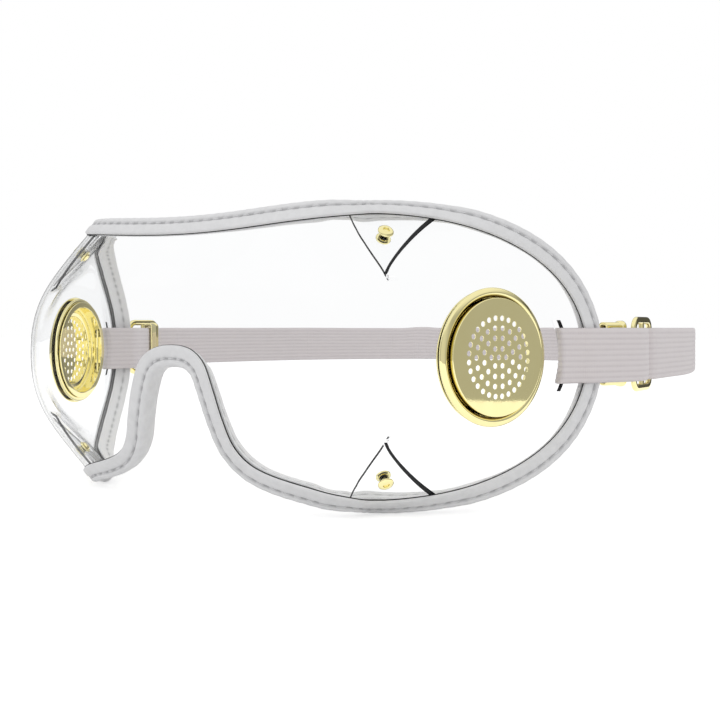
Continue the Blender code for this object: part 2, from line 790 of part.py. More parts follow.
def turned_on_axis(name, profile, matrix, group, material, sides):
    """Turn an open profile that starts and ends on the local Z."""
    item = turned(name, profile, matrix, group, material, sides)
    item.data.clear_geometry()
    edges = [(i, i + 1) for i in range(len(profile) - 1)]
    item.data.from_pydata([(radius, 0.0, height) for radius, height in profile], edges, [])
    return item


def build_vent(side_sign, group, cutters, brass):
    """One vent: outer flange, perforated cup and the ring that the cup's lip clinches."""
    side = side_name(side_sign)
    frame = vent_frame(side_sign)
    seat = SHEET_THICKNESS / 2 + CLEARANCE
    bore = VENT_CUP_RADIUS + CLEARANCE
    crown = seat + VENT_FLANGE_HEIGHT
    turned("vent_flange_" + side, [
        (bore, crown - VENT_FLANGE_DIP),
        ((bore + VENT_FLANGE_CREST) / 2, crown - VENT_FLANGE_DIP / 4), (VENT_FLANGE_CREST, crown),
        (VENT_RADIUS - VENT_FLANGE_EDGE / 2, seat + VENT_FLANGE_HEIGHT / 2),
        (VENT_RADIUS, seat + VENT_FLANGE_EDGE / 2), (VENT_RADIUS, seat), (bore, seat),
    ], frame, group, brass, VENT_SIDES)
    face = crown + VENT_CUP_RISE
    plate_back = face - VENT_CUP_WALL
    shelf = plate_back - VENT_DISH_STEP
    ring_back = -seat - VENT_RING_HEIGHT
    lip_front = ring_back - CLEARANCE
    lip_back = lip_front - VENT_LIP_HEIGHT
    skirt = VENT_CUP_RADIUS - VENT_CUP_WALL
    cup = turned_on_axis("vent_cup_" + side, [
        (0.0, face), (VENT_CUP_RADIUS - VENT_CUP_EDGE, face),
        (VENT_CUP_RADIUS, face - VENT_CUP_EDGE), (VENT_CUP_RADIUS, lip_front),
        (VENT_LIP_RADIUS, lip_front), (VENT_LIP_RADIUS, lip_back), (skirt, lip_back),
        (skirt, shelf), (VENT_DISH_RADIUS, shelf), (VENT_DISH_RADIUS, plate_back),
        (0.0, plate_back),
    ], frame, group, brass, VENT_SIDES)
    cut(cup, hole_pattern_cutter(side_sign, face, cutters))
    turned("vent_ring_" + side, [
        (bore, -seat), (VENT_RING_RADIUS, -seat), (VENT_RING_RADIUS, -seat - VENT_RING_HEIGHT / 2),
        (VENT_RING_RADIUS - VENT_RING_HEIGHT / 2, ring_back), (bore, ring_back),
    ], frame, group, brass, VENT_SIDES)


def hole_places():
    """Centres of the vent's perforations: a middle hole and rings of holes round it."""
    places = [(0.0, 0.0)]
    for ring in range(1, HOLE_RINGS + 2):
        count = HOLES_PER_RING * ring if ring <= HOLE_RINGS else OUTER_HOLES
        radius = HOLE_RING_PITCH * ring
        for index in range(count):
            angle = 2 * math.pi * (index + 0.5) / count
            places.append((radius * math.cos(angle), radius * math.sin(angle)))
    return places


def hole_pattern_cutter(side_sign, face, cutters):
    """All of a vent's perforations as one cutter of separate pegs."""
    work = bmesh.new()
    for x, y in hole_places():
        bmesh.ops.create_cone(
            work, cap_ends=True, segments=HOLE_SIDES, radius1=HOLE_RADIUS, radius2=HOLE_RADIUS,
            depth=2 * CUTTER_OVERRUN, matrix=Matrix.Translation((x, y, face)))
    name = "vent_perforations_" + side_name(side_sign)
    mesh = bpy.data.meshes.new(name)
    work.to_mesh(mesh)
    work.free()
    item = bpy.data.objects.new(name, mesh)
    cutters.objects.link(item)
    item.matrix_world = vent_frame(side_sign)
    return hide_cutter(item)


def build_rivet(side_sign, upper, group, brass):
    """A dart's rivet with its hollow head, and the burr that its flared tail holds."""
    ending = f"{'top' if upper > 0 else 'bottom'}_{side_name(side_sign)}"
    frame = rivet_frame(side_sign, upper)
    seat = SHEET_THICKNESS / 2 + CLEARANCE
    crown = seat + RIVET_HEAD_HEIGHT
    burr_front = -seat - SHEET_THICKNESS - FLAP_GAP
    burr_back = burr_front - BURR_THICKNESS
    flare_front = burr_back - CLEARANCE
    flare_back = flare_front - RIVET_FLARE_HEIGHT
    turned_on_axis("dart_rivet_" + ending, [
        (0.0, crown - RIVET_BORE_DEPTH), (RIVET_BORE_RADIUS, crown - RIVET_BORE_DEPTH),
        (RIVET_SHANK_RADIUS, crown), (RIVET_HEAD_RADIUS - RIVET_HEAD_RIM, crown - RIVET_HEAD_RIM),
        (RIVET_HEAD_RADIUS, seat + RIVET_HEAD_RIM), (RIVET_HEAD_RADIUS, seat),
        (RIVET_SHANK_RADIUS, seat), (RIVET_SHANK_RADIUS, flare_front),
        (RIVET_FLARE_RADIUS, flare_front), (RIVET_SHANK_RADIUS, flare_back), (0.0, flare_back),
    ], frame, group, brass, RIVET_SIDES)
    turned("dart_burr_" + ending, [
        (RIVET_SHANK_RADIUS + CLEARANCE, burr_front), (BURR_RADIUS, burr_front),
        (BURR_RADIUS, burr_back), (RIVET_SHANK_RADIUS + CLEARANCE, burr_back),
    ], frame, group, brass, RIVET_SIDES)


# Strap

def strap_plane():
    """Distance from the goggles' middle to the strap that lies on the slider's outer face."""
    return SLIDER_PLACE_X + SLIDER_THICKNESS / 2 + CLEARANCE + STRAP_THICKNESS / 2


def rear_bar_place():
    """Place of the middle of the slider's rear bar, along the strap."""
    return SLIDER_PLACE_Y + SLIDER_LENGTH / 2 - SLIDER_BAR / 2


def band_path():
    """Half of the head band in plan, from the slider's rear bar round to the rear's middle."""
    outer = strap_plane()
    front = rear_bar_place() + CLEARANCE
    shares = ((1.0, 0.555), (0.93, 0.68), (0.8, 0.795), (0.6, 0.893), (0.32, 0.97), (0.0, 1.0))
    points = [(outer, front + SLIDER_LENGTH * share) for share in (0.0, 1.0, 2.0)]
    points += [(BAND_HALF_WIDTH * across, BAND_REAR * back) for across, back in shares]
    mirrored = [(-x, y) for x, y in points[-2::-1]]
    whole = rounded_path(points + mirrored, 16)
    return whole[:len(whole) // 2 + 1]


def window_length():
    """Length of each of the slider's two windows."""
    return (SLIDER_LENGTH - 3 * SLIDER_BAR) / 2


def evenly_spaced(points, step):
    """Resample a path at even steps."""
    length = path_lengths(points)
    count = max(2, int(round(length[-1] / step)) + 1)
    targets = np.linspace(0.0, length[-1], count)
    return np.stack([np.interp(targets, length, points[:, k]) for k in range(2)], axis=-1)


def ribbon(name, path, bows, group, material):
    """A flat strap on edge along a plan path, bowed forward across its width by bows."""
    points = []
    tangent = np.gradient(path, axis=0)
    tangent /= np.linalg.norm(tangent, axis=1, keepdims=True)
    side = np.stack([tangent[:, 1], -tangent[:, 0]], axis=-1)
    half_width = STRAP_WIDTH / 2
    half_thickness = STRAP_THICKNESS / 2
    section = [
        (-half_width, 0.0), (STRAP_EDGE - half_width, half_thickness), (0.0, half_thickness),
        (half_width - STRAP_EDGE, half_thickness), (half_width, 0.0),
        (half_width - STRAP_EDGE, -half_thickness), (0.0, -half_thickness),
        (STRAP_EDGE - half_width, -half_thickness),
    ]
    for place, across, bow in zip(path, side, bows):
        for height, lift in section:
            spot = place + across * lift + bow * float(slot_bow(height))
            points.append((spot[0], spot[1], height))
    count, size = len(path), len(section)
    faces = [tuple(range(size)), tuple(range(count * size - 1, (count - 1) * size - 1, -1))]
    for index in range(count - 1):
        for corner in range(size):
            turned_corner = (corner + 1) % size
            faces.append((
                index * size + corner, index * size + turned_corner,
                (index + 1) * size + turned_corner, (index + 1) * size + corner,
            ))
    item = add_mesh(name, points, faces, group, material)
    orient_faces(item)
    shade(item)
    return item


def build_band(group, material):
    """The head band, from the slider on one side round the head to the other.

    Its points lie close together by the slider and twice as far apart round the head.
    """
    half = evenly_spaced(band_path(), BAND_STEP / 2)
    rear = len(half) - 1
    start = BAND_FINE_POINTS + (rear - BAND_FINE_POINTS) % 2
    right = np.vstack([half[:BAND_FINE_POINTS], half[start::2]])
    path = np.vstack([right, right[-2::-1] * (-1.0, 1.0)])
    return ribbon("head_band", path, np.zeros_like(path), group, material)


def loop_path():
    """Strap loop of the right side in plan: slider, slot, and back to the slider's window.

    Returns the path and how strongly it is bowed like the slot at each point.
    """
    place, rearward, outward = slot_frame(1)
    outer = strap_plane()
    place, rearward, outward = place[:2], rearward[:2], outward[:2]
    fold_radius = SHEET_THICKNESS / 2 + CLEARANCE + STRAP_THICKNESS / 2
    fold_centre = place + rearward * (SLOT_WIDTH / 2 + CLEARANCE / 2)
    roll_top = SHEET_THICKNESS / 2 + BINDING_WALL + 2 * CLEARANCE + STRAP_THICKNESS
    pad_back = ROLL_DEPTH + 2 * CLEARANCE + STRAP_THICKNESS
    sight = TEMPLE_RUN - SLOT_SETBACK
    roll_end = sight + ROLL_REACH
    centre_bar = SLIDER_PLACE_Y - SLIDER_BAR / 2 - CLEARANCE - STRAP_THICKNESS / 2
    front_bar = SLIDER_PLACE_Y - SLIDER_LENGTH / 2
    outer_leg = [
        (outer, centre_bar), (outer, front_bar),
        place + rearward * roll_end + outward * (roll_top + CLEARANCE),
        place + rearward * sight + outward * roll_top,
        place + rearward * (sight / 2) + outward * (fold_radius + CLEARANCE),
    ]
    angles = np.linspace(math.pi / 2, -math.pi / 2, 7)
    fold = [
        fold_centre - rearward * fold_radius * math.cos(a) + outward * fold_radius * math.sin(a)
        for a in angles
    ]
    keeper = np.array([KEEPER_PLACE_X, KEEPER_PLACE_Y])
    along = np.array([math.cos(KEEPER_HEADING), math.sin(KEEPER_HEADING)])
    window = SLIDER_PLACE_Y + SLIDER_BAR / 2 + window_length() / 2
    inner_face = SLIDER_PLACE_X - SLIDER_THICKNESS / 2
    inner_leg = [
        place + rearward * (sight / 2) - outward * (pad_back / 2 + CLEARANCE),
        place + rearward * sight - outward * pad_back,
        place + rearward * roll_end - outward * (pad_back + CLEARANCE),
        keeper - along * KEEPER_LENGTH / 2, keeper, keeper + along * KEEPER_LENGTH / 2,
        (inner_face - STRAP_THICKNESS, window - STRAP_THICKNESS / 2),
        (SLIDER_PLACE_X, window + STRAP_THICKNESS / 2),
        (outer - STRAP_THICKNESS / 4, rear_bar_place() - 1.2 * STRAP_THICKNESS),
        (outer, rear_bar_place()),
    ]
    path = rounded_path(np.vstack([outer_leg, fold, inner_leg]), 10)
    path = evenly_spaced(path, LOOP_STEP)
    ahead = -(path - place) @ rearward
    gone = np.clip((np.abs((path - place) @ outward) - fold_radius) / STRAP_BOW_FADE, 0.0, 1.0)
    behind = np.clip(-ahead / STRAP_BOW_FADE, 0.0, 1.0)
    weight = (1 - smooth_share(gone)) * (1 - smooth_share(behind))
    return path, -rearward * weight[:, None]


def build_loop(side_sign, group, material):
    """The strap's loop through the lens on one side."""
    path, bows = loop_path()
    flip = np.array([side_sign, 1.0])
    return ribbon("strap_loop_" + side_name(side_sign), path * flip, bows * flip, group, material)


# Slider and keeper

def rounded_rectangle(length, height, corner):
    """Outline of a rectangle with round corners, centred on zero."""
    outline = []
    for quarter in range(4):
        sign_x = 1 if quarter in (0, 3) else -1
        sign_y = 1 if quarter in (0, 1) else -1
        for step in range(CORNER_STEPS + 1):
            angle = (quarter + step / CORNER_STEPS) * math.pi / 2
            outline.append((
                sign_x * (length / 2 - corner) + corner * math.cos(angle),
                sign_y * (height / 2 - corner) + corner * math.sin(angle),
            ))
    return outline


def flat_curve(name, outlines, thickness, bevel, group):
    """A flat plate from closed outlines, the first outside and the others holes."""
    curve = bpy.data.curves.new(name, "CURVE")
    curve.dimensions = "2D"
    curve.fill_mode = "BOTH"
    curve.extrude = thickness / 2 - bevel
    curve.bevel_depth = bevel
    curve.bevel_resolution = 0
    curve.offset = -bevel
    for outline in outlines:
        spline = curve.splines.new("POLY")
        spline.points.add(len(outline) - 1)
        for point, (x, y) in zip(spline.points, outline):
            point.co = (x, y, 0.0, 1.0)
        spline.use_cyclic_u = True
    item = bpy.data.objects.new(name, curve)
    group.objects.link(item)
    return item


def curve_to_mesh(item, material):
    """Replace a curve object by a mesh object of the same name, with its caps welded."""
    name = item.name
    group = item.users_collection[0]
    matrix = item.matrix_world.copy()
    bpy.context.view_layer.update()
    source = item.evaluated_get(bpy.context.evaluated_depsgraph_get())
    mesh = bpy.data.meshes.new_from_object(source)
    bpy.data.objects.remove(item, do_unlink=True)
    solid = bpy.data.objects.new(name, mesh)
    group.objects.link(solid)
    orient_faces(solid)
    solid.matrix_world = matrix
    mesh.materials.clear()
    mesh.materials.append(material)
    shade(solid)
    return solid


def travel_empty(name, place, group):
    """An empty that stands where a moving piece's joint axis passes."""
    empty = bpy.data.objects.new(name, None)
    empty.empty_display_size = SLIDER_LENGTH
    empty.location = place
    group.objects.link(empty)
    return empty


def build_slider(side_sign, group, brass):
    """The brass three-bar slider that joins the strap's loop and the head band."""
    half_height = SLIDER_HEIGHT / 2 - SLIDER_RAIL
    windows = []
    for end in (1, -1):
        centre = end * (SLIDER_BAR + window_length()) / 2
        corner = SLIDER_BAR / 2
        shape = rounded_rectangle(window_length(), 2 * half_height, corner)
        windows.append([(x + centre, y) for x, y in shape][::-1])
    outline = rounded_rectangle(SLIDER_LENGTH, SLIDER_HEIGHT, SLIDER_CORNER)
    plate = flat_curve(
        "slider_" + side_name(side_sign), [outline, *windows], SLIDER_THICKNESS,
        SLIDER_BEVEL, group)
    turn = Matrix(((0, 0, 1, 0), (1, 0, 0, 0), (0, 1, 0, 0), (0, 0, 0, 1)))
    place = Vector((SLIDER_PLACE_X * side_sign, SLIDER_PLACE_Y, 0.0))
    plate.matrix_world = Matrix.Translation(place) @ turn
    solid = curve_to_mesh(plate, brass)
    empty = travel_empty("slider_travel_" + side_name(side_sign), place, group)
    bpy.context.view_layer.update()
    solid.parent = empty
    solid.matrix_parent_inverse = empty.matrix_world.inverted()
    return solid


def build_keeper(side_sign, group, brass):
    """The flat brass sleeve that keeps the strap's inner leg, with a rolled rear edge."""
    outer = rounded_rectangle(KEEPER_THICKNESS, KEEPER_HEIGHT, KEEPER_THICKNESS / 3)
    inner = rounded_rectangle(
        KEEPER_THICKNESS - 2 * KEEPER_WALL, KEEPER_HEIGHT - 2 * KEEPER_WALL,
        KEEPER_THICKNESS / 3 - KEEPER_WALL / 2)
    grown = 1 + 2 * KEEPER_BEAD / KEEPER_THICKNESS
    stations = (
        (-KEEPER_LENGTH / 2, 0.0), (KEEPER_LENGTH / 2 - 4 * KEEPER_BEAD, 0.0),
        (KEEPER_LENGTH / 2 - 3 * KEEPER_BEAD, KEEPER_BEAD),
        (KEEPER_LENGTH / 2 - KEEPER_BEAD, KEEPER_BEAD), (KEEPER_LENGTH / 2, 0.0),
    )
    points = []
    for back, swell in stations:
        scale_x = 1 + (grown - 1) * swell / KEEPER_BEAD
        scale_y = 1 + 2 * swell / KEEPER_HEIGHT
        points += [(x * scale_x, y * scale_y, back) for x, y in outer]
    for back in (KEEPER_LENGTH / 2, -KEEPER_LENGTH / 2):
        points += [(x, y, back) for x, y in inner]
    size = len(outer)
    rings = len(stations) + 2
    faces = []
    for ring in range(rings):
        following = (ring + 1) % rings
        for corner in range(size):
            turned_corner = (corner + 1) % size
            faces.append((
                ring * size + corner, ring * size + turned_corner,
                following * size + turned_corner, following * size + corner,
            ))
    item = add_mesh("keeper_" + side_name(side_sign), points, faces, group, brass)
    orient_faces(item)
    shade(item)
    heading = KEEPER_HEADING if side_sign > 0 else math.pi - KEEPER_HEADING
    back = Vector((math.cos(heading), math.sin(heading), 0.0))
    across = Vector((-math.sin(heading), math.cos(heading), 0.0))
    up = Vector((0.0, 0.0, 1.0))
    turn = Matrix((across, up, back)).transposed().to_4x4()
    place = Vector((KEEPER_PLACE_X * side_sign, KEEPER_PLACE_Y, 0.0))
    item.matrix_world = Matrix.Translation(place) @ turn
    empty = travel_empty("keeper_travel_" + side_name(side_sign), place, group)
    bpy.context.view_layer.update()
    item.parent = empty
    item.matrix_parent_inverse = empty.matrix_world.inverted()
    return item


def main():
    """Build the goggles."""
    clear_scene()
    group = make_collection("racing_goggles")
    cutters = make_collection("cutters")
    clear_sheet = make_material("clear_sheet", (0.93, 0.94, 0.95), 0.05, alpha=0.25)
    vinyl = make_material("white_vinyl", (0.82, 0.82, 0.83), 0.5)
    foam = make_material("pad_foam", (0.78, 0.78, 0.79), 0.9)
    elastic = make_material("elastic_webbing", (0.6, 0.56, 0.56), 0.85)
    brass = make_material("polished_brass", (0.8, 0.66, 0.32), 0.18, metallic=1.0)
    layout = SheetLayout()
    build_lens(layout, group, cutters, clear_sheet)
    swept_edge("edge_binding", lambda run: binding_profile(), layout, group, vinyl)
    swept_edge(
        "face_pad", lambda run: pad_profile(float(flap_relief(run))), layout, group, foam)
    build_band(group, elastic)
    for side_sign in (1, -1):
        build_vent(side_sign, group, cutters, brass)
        for upper in (1, -1):
            build_rivet(side_sign, upper, group, brass)
        build_loop(side_sign, group, elastic)
        build_slider(side_sign, group, brass)
        build_keeper(side_sign, group, brass)


main()
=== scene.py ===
"""Racing goggles dressed for the picture.

A clear sheet lens is pinched at four darts and edged with a stitched white binding over a foam
roll. Two perforated brass vents sit at its sides, and a ribbed elastic band threads through the
lens, a brass keeper and a brass slider on each side.

Metres, +Z up. The origin is midway between the vents and +Y runs back to the head.
"""

import json
import logging
import math
from dataclasses import dataclass, field
from enum import Enum
from typing import Any, Sequence

import bmesh
import bpy
import numpy as np
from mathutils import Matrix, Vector

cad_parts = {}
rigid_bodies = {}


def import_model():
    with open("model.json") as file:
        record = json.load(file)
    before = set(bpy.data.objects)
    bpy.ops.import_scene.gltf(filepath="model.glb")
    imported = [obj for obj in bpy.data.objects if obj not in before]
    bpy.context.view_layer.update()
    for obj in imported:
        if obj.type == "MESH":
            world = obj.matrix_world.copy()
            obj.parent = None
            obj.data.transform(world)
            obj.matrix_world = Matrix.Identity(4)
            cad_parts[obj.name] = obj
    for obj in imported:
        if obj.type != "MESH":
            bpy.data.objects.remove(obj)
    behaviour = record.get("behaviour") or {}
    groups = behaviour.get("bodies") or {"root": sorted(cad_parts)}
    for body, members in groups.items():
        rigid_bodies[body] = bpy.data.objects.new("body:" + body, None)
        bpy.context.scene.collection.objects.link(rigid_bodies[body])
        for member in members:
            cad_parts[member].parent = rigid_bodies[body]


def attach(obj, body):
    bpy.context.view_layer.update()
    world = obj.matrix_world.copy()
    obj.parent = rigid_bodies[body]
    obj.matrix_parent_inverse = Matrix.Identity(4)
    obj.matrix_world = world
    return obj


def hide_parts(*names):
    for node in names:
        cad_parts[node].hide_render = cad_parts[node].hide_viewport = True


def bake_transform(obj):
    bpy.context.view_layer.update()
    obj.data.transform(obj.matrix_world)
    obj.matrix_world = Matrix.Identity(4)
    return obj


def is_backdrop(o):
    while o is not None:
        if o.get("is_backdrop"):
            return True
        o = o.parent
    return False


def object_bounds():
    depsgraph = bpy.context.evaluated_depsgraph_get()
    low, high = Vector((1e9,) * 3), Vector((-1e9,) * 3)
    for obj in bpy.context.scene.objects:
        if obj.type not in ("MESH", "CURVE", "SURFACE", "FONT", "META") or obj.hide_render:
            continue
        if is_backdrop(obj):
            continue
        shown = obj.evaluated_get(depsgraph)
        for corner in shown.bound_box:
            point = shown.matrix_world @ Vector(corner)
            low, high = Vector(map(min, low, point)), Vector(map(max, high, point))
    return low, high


LOG = logging.getLogger("racing_goggles")
MM = 0.001
Array = np.ndarray
Triple = tuple[float, float, float]
Piece = bpy.types.Object
Material = bpy.types.Material
UP = np.array([0.0, 0.0, 1.0])
WHITE = (1.0, 1.0, 1.0, 1.0)

# Sizes that several pieces share
CLEARANCE = 0.3 * MM
FLAP_GAP = 0.5 * MM
TAPE_WALL = 0.8 * MM
ROLL_REACH = 6.3 * MM
ROLL_DEPTH = 5.6 * MM
STITCH_LINE = 3.8 * MM
STITCH_PITCH = 3.8 * MM
PUNCH_DEPTH = 3 * MM
SHARE_TOLERANCE = 1e-6
WELD_DISTANCE = 0.001 * MM
EDGE_STATIONS = 760
EDGE_SMOOTHING = 1.8 * MM


class Side(Enum):
    """A side of the goggles, with the sign of its x."""

    RIGHT = 1
    LEFT = -1

    @property
    def letter(self) -> str:
        """Ending of the side's piece and body names."""
        return "R" if self is Side.RIGHT else "L"

    @property
    def flip(self) -> Array:
        """Factors that carry a right-hand point to this side."""
        return np.array([float(self.value), 1.0, 1.0])


class Level(Enum):
    """Upper or lower darts, with the sign of their z."""

    TOP = 1
    BOTTOM = -1


class Slot(Enum):
    """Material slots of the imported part."""

    SHEET = "clear_sheet"
    VINYL = "white_vinyl"
    FOAM = "pad_foam"
    ELASTIC = "elastic_webbing"
    BRASS = "polished_brass"


# Whole-array geometry


def smooth_share(value: Array) -> Array:
    """Ease a share from 0 to 1 with level ends: 3 s squared less 2 s cubed."""
    share = np.clip(value, 0.0, 1.0)
    return share * share * (3.0 - 2.0 * share)


def unit(vectors: Array) -> Array:
    """Scale vectors to length one."""
    return vectors / np.linalg.norm(vectors, axis=-1, keepdims=True)


def even_turn(count: int) -> Array:
    """Angles that share out a full turn."""
    return np.linspace(0.0, 2 * math.pi, count, endpoint=False)


def grid_quads(rows: int, columns: int, wrap_rows: bool, wrap_columns: bool) -> Array:
    """Quads between neighbouring points of a grid.

    Args:
        rows: Number of rows of points.
        columns: Number of points in a row.
        wrap_rows: Whether the last row joins the first.
        wrap_columns: Whether each row closes on itself.

    Returns:
        Point numbers of the quads, four to each.
    """
    row, column = np.meshgrid(
        np.arange(rows if wrap_rows else rows - 1),
        np.arange(columns if wrap_columns else columns - 1), indexing="ij")
    below = (row + 1) % rows * columns
    beside = (column + 1) % columns
    corners = (row * columns + column, below + column, below + beside, row * columns + beside)
    return np.stack(corners, axis=-1).reshape(-1, 4)


def path_lengths(points: Array) -> Array:
    """Distance along a path at each of its points, by summing its steps."""
    steps = np.linalg.norm(np.diff(points, axis=0), axis=1)
    return np.concatenate([[0.0], np.cumsum(steps)])


def resampled(points: Array, count: int) -> Array:
    """Points at even distances along a path, read off linearly between its points.

    Args:
        points: The path's points, one to a row.
        count: Number of points wanted.

    Returns:
        The even points, the ends among them.
    """
    length = path_lengths(points)
    targets = np.linspace(0.0, length[-1], count)
    return np.stack([np.interp(targets, length, column) for column in points.T], axis=-1)


def rounded_path(points: Array, steps: int) -> Array:
    """Catmull-Rom curve through points: each span is a cubic whose end slopes join its neighbours.

    Args:
        points: Points that the curve passes through.
        steps: Steps in each span.

    Returns:
        The curve's points.
    """
    points = np.asarray(points, dtype=float)
    padded = np.vstack([2 * points[0] - points[1], points, 2 * points[-1] - points[-2]])
    before, start, end, after = (padded[k:len(padded) - 3 + k, None] for k in range(4))
    share = np.linspace(0.0, 1.0, steps, endpoint=False)[None, :, None]
    curve = 0.5 * (
        2 * start + (end - before) * share
        + (2 * before - 5 * start + 4 * end - after) * share ** 2
        + (3 * start - before - 3 * end + after) * share ** 3
    )
    return np.vstack([curve.reshape(-1, points.shape[1]), points[-1:]])


def closed_curve(points: Array, steps: int) -> Array:
    """Catmull-Rom curve through a closed ring of points, without a repeated point."""
    points = np.asarray(points, dtype=float)
    wrapped = np.vstack([points[-1:], points, points[:2]])
    curve = rounded_path(wrapped, steps)
    return curve[steps:steps * (len(points) + 1)]


def eased_corners(corners: Array, reach: Array, steps: int = 5) -> Array:
    """Round the corners of an outline with quadratic Bezier arcs that start a reach away.

    Args:
        corners: Outline corners, one to a row.
        reach: How far from each corner its arc starts, 0 for a sharp one.
        steps: Points on each arc.

    Returns:
        The outline's points.
    """
    corners = np.asarray(corners, dtype=float)
    back = np.roll(corners, 1, axis=0) - corners
    ahead = np.roll(corners, -1, axis=0) - corners
    near = np.minimum(np.linalg.norm(back, axis=1), np.linalg.norm(ahead, axis=1))
    reach = np.minimum(np.broadcast_to(reach, near.shape), near * 0.45)[:, None]
    start = (corners + unit(back) * reach)[:, None]
    end = (corners + unit(ahead) * reach)[:, None]
    share = np.linspace(0.0, 1.0, steps)[None, :, None]
    middle = corners[:, None]
    arcs = (1 - share) ** 2 * start + 2 * share * (1 - share) * middle + share ** 2 * end
    return arcs.reshape(-1, 2)


def rounded_frame(length: float, height: float, corner: float, steps: int) -> tuple[Array, Array]:
    """Centre line of a rectangle with round corners: four quarter circles joined by straights.

    Args:
        length: Its first side.
        height: Its second side.
        corner: Corner radius.
        steps: Steps in each quarter circle.

    Returns:
        The points and their outward normals, both in the rectangle's own plane.
    """
    angle = (np.arange(4)[:, None] + np.linspace(0.0, 1.0, steps + 1)[None, :]) * math.pi / 2
    normal = np.stack([np.cos(angle), np.sin(angle)], axis=-1)
    signs = np.array([(1, 1), (-1, 1), (-1, -1), (1, -1)])
    centre = signs * (length / 2 - corner, height / 2 - corner)
    points = centre[:, None] + corner * normal
    return points.reshape(-1, 2), normal.reshape(-1, 2)


def oval(half_width: float, half_depth: float, power: float, count: int) -> Array:
    """Superellipse section: the powered cosine and sine of an even turn, scaled to its halves."""
    turn = even_turn(count)
    across, up = np.cos(turn), np.sin(turn)
    return np.stack([
        half_width * np.sign(across) * np.abs(across) ** power,
        half_depth * np.sign(up) * np.abs(up) ** power,
    ], axis=-1)


def frame_sweep(
        frame: tuple[Array, Array], section: Array, place: Array, axes: Sequence[Array]) -> Array:
    """Carry a section round a flat frame.

    Args:
        frame: The frame's points and outward normals, in its own plane.
        section: Reach along the normal and lift off the plane, for each section point.
        place: The frame's middle.
        axes: The plane's two directions, and the direction of lift.

    Returns:
        The grid of points.
    """
    path, normal = frame
    flat = path[:, None] + normal[:, None] * section[None, :, :1]
    lift = section[None, :, 1:]
    return place + flat[..., :1] * axes[0] + flat[..., 1:] * axes[1] + lift * axes[2]


def capped(points: Array) -> Array:
    """Add a row of coincident points at each end of a tube, so that its ends close."""
    first = np.broadcast_to(points[0].mean(axis=0), points[0].shape)
    last = np.broadcast_to(points[-1].mean(axis=0), points[-1].shape)
    return np.concatenate([first[None], points, last[None]])


# Mesh pieces


def placed(name: str, data: Any) -> Piece:
    """New object for some data, put in the scene."""
    item = bpy.data.objects.new(name, data)
    bpy.context.scene.collection.objects.link(item)
    return item


def mesh_object(
        name: str, points: Array, faces: list, materials: Sequence[Material],
        marks: dict[str, Array] | None = None) -> Piece:
    """Put points and faces into a new object, weld its doubles and turn its faces outwards.

    Args:
        name: Piece name.
        points: Points, in any grid shape.
        faces: Point numbers of each face.
        materials: Materials of its slots.
        marks: Values for each point, kept as attributes for the materials.

    Returns:
        The object, at the origin.
    """
    mesh = bpy.data.meshes.new(name)
    mesh.from_pydata(points.reshape(-1, 3).tolist(), [], faces)
    for mark, values in (marks or {}).items():
        layer = mesh.attributes.new(mark, "FLOAT", "POINT")
        layer.data.foreach_set("value", np.ascontiguousarray(values, np.float32).ravel())
    work = bmesh.new()
    work.from_mesh(mesh)
    bmesh.ops.remove_doubles(work, verts=work.verts, dist=WELD_DISTANCE)
    bmesh.ops.recalc_face_normals(work, faces=work.faces)
    work.to_mesh(mesh)
    work.free()
    for material in materials:
        mesh.materials.append(material)
    return placed(name, mesh)


def shaded(item: Piece, crease: float = 40.0) -> Piece:
    """Shade a piece smooth, with creases where its faces meet at a sharper angle in degrees."""
    item.data.shade_smooth()
    item.data.set_sharp_from_angle(angle=math.radians(crease))
    return item


def levelled(item: Piece) -> Piece:
    """Weigh a piece's normals by face area, so that its wide flat faces reflect evenly."""
    weigh = item.modifiers.new("levelled", "WEIGHTED_NORMAL")
    weigh.mode = "FACE_AREA"
    weigh.weight = 100
    weigh.keep_sharp = True
    return bake_modifiers(item)


def grid_piece(
        name: str, points: Array, material: Material, wrap_rows: bool = False,
        marks: dict[str, Array] | None = None, crease: float = 40.0) -> Piece:
    """Make a piece from rows of sections that each close on themselves.

    Args:
        name: Piece name.
        points: Rows of section points.
        material: Its finish.
        wrap_rows: Whether the rows form a ring. Otherwise its ends are closed.
        marks: Values for each point.
        crease: Angle in degrees past which its shading has a crease.

    Returns:
        The object.
    """
    if not wrap_rows:
        points = capped(points)
        marks = {
            mark: np.concatenate([values[:1], values, values[-1:]])
            for mark, values in (marks or {}).items()
        }
    quads = grid_quads(points.shape[0], points.shape[1], wrap_rows, True)
    return shaded(mesh_object(name, points, quads.tolist(), [material], marks), crease)


def surface_area(mesh: bpy.types.Mesh) -> float:
    """Area of all of a mesh's faces."""
    areas = np.empty(len(mesh.polygons))
    mesh.polygons.foreach_get("area", areas)
    return float(areas.sum())


def bake_modifiers(item: Piece) -> Piece:
    """Replace an object's mesh by the one that its modifiers give, and drop them."""
    bpy.context.view_layer.update()
    source = item.evaluated_get(bpy.context.evaluated_depsgraph_get())
    mesh = bpy.data.meshes.new_from_object(source)
    item.modifiers.clear()
    item.data = mesh
    return item


def cut_away(item: Piece, cutters: Sequence[Piece]) -> None:
    """Cut solids out of a piece. The new faces take the cutters' material.

    Args:
        item: The piece.
        cutters: Closed solids, removed afterwards.

    Raises:
        ValueError: If a cut leaves less than half of the piece's surface.
    """
    before = surface_area(item.data)
    for cutter in cutters:
        step = item.modifiers.new(cutter.name, "BOOLEAN")
        step.operation = "DIFFERENCE"
        step.solver = "EXACT"
        step.material_mode = "TRANSFER"
        step.object = cutter
    bake_modifiers(item)
    if surface_area(item.data) < before / 2:
        raise ValueError(f"{item.name}: the cuts took away most of the piece")
    for cutter in cutters:
        bpy.data.objects.remove(cutter, do_unlink=True)


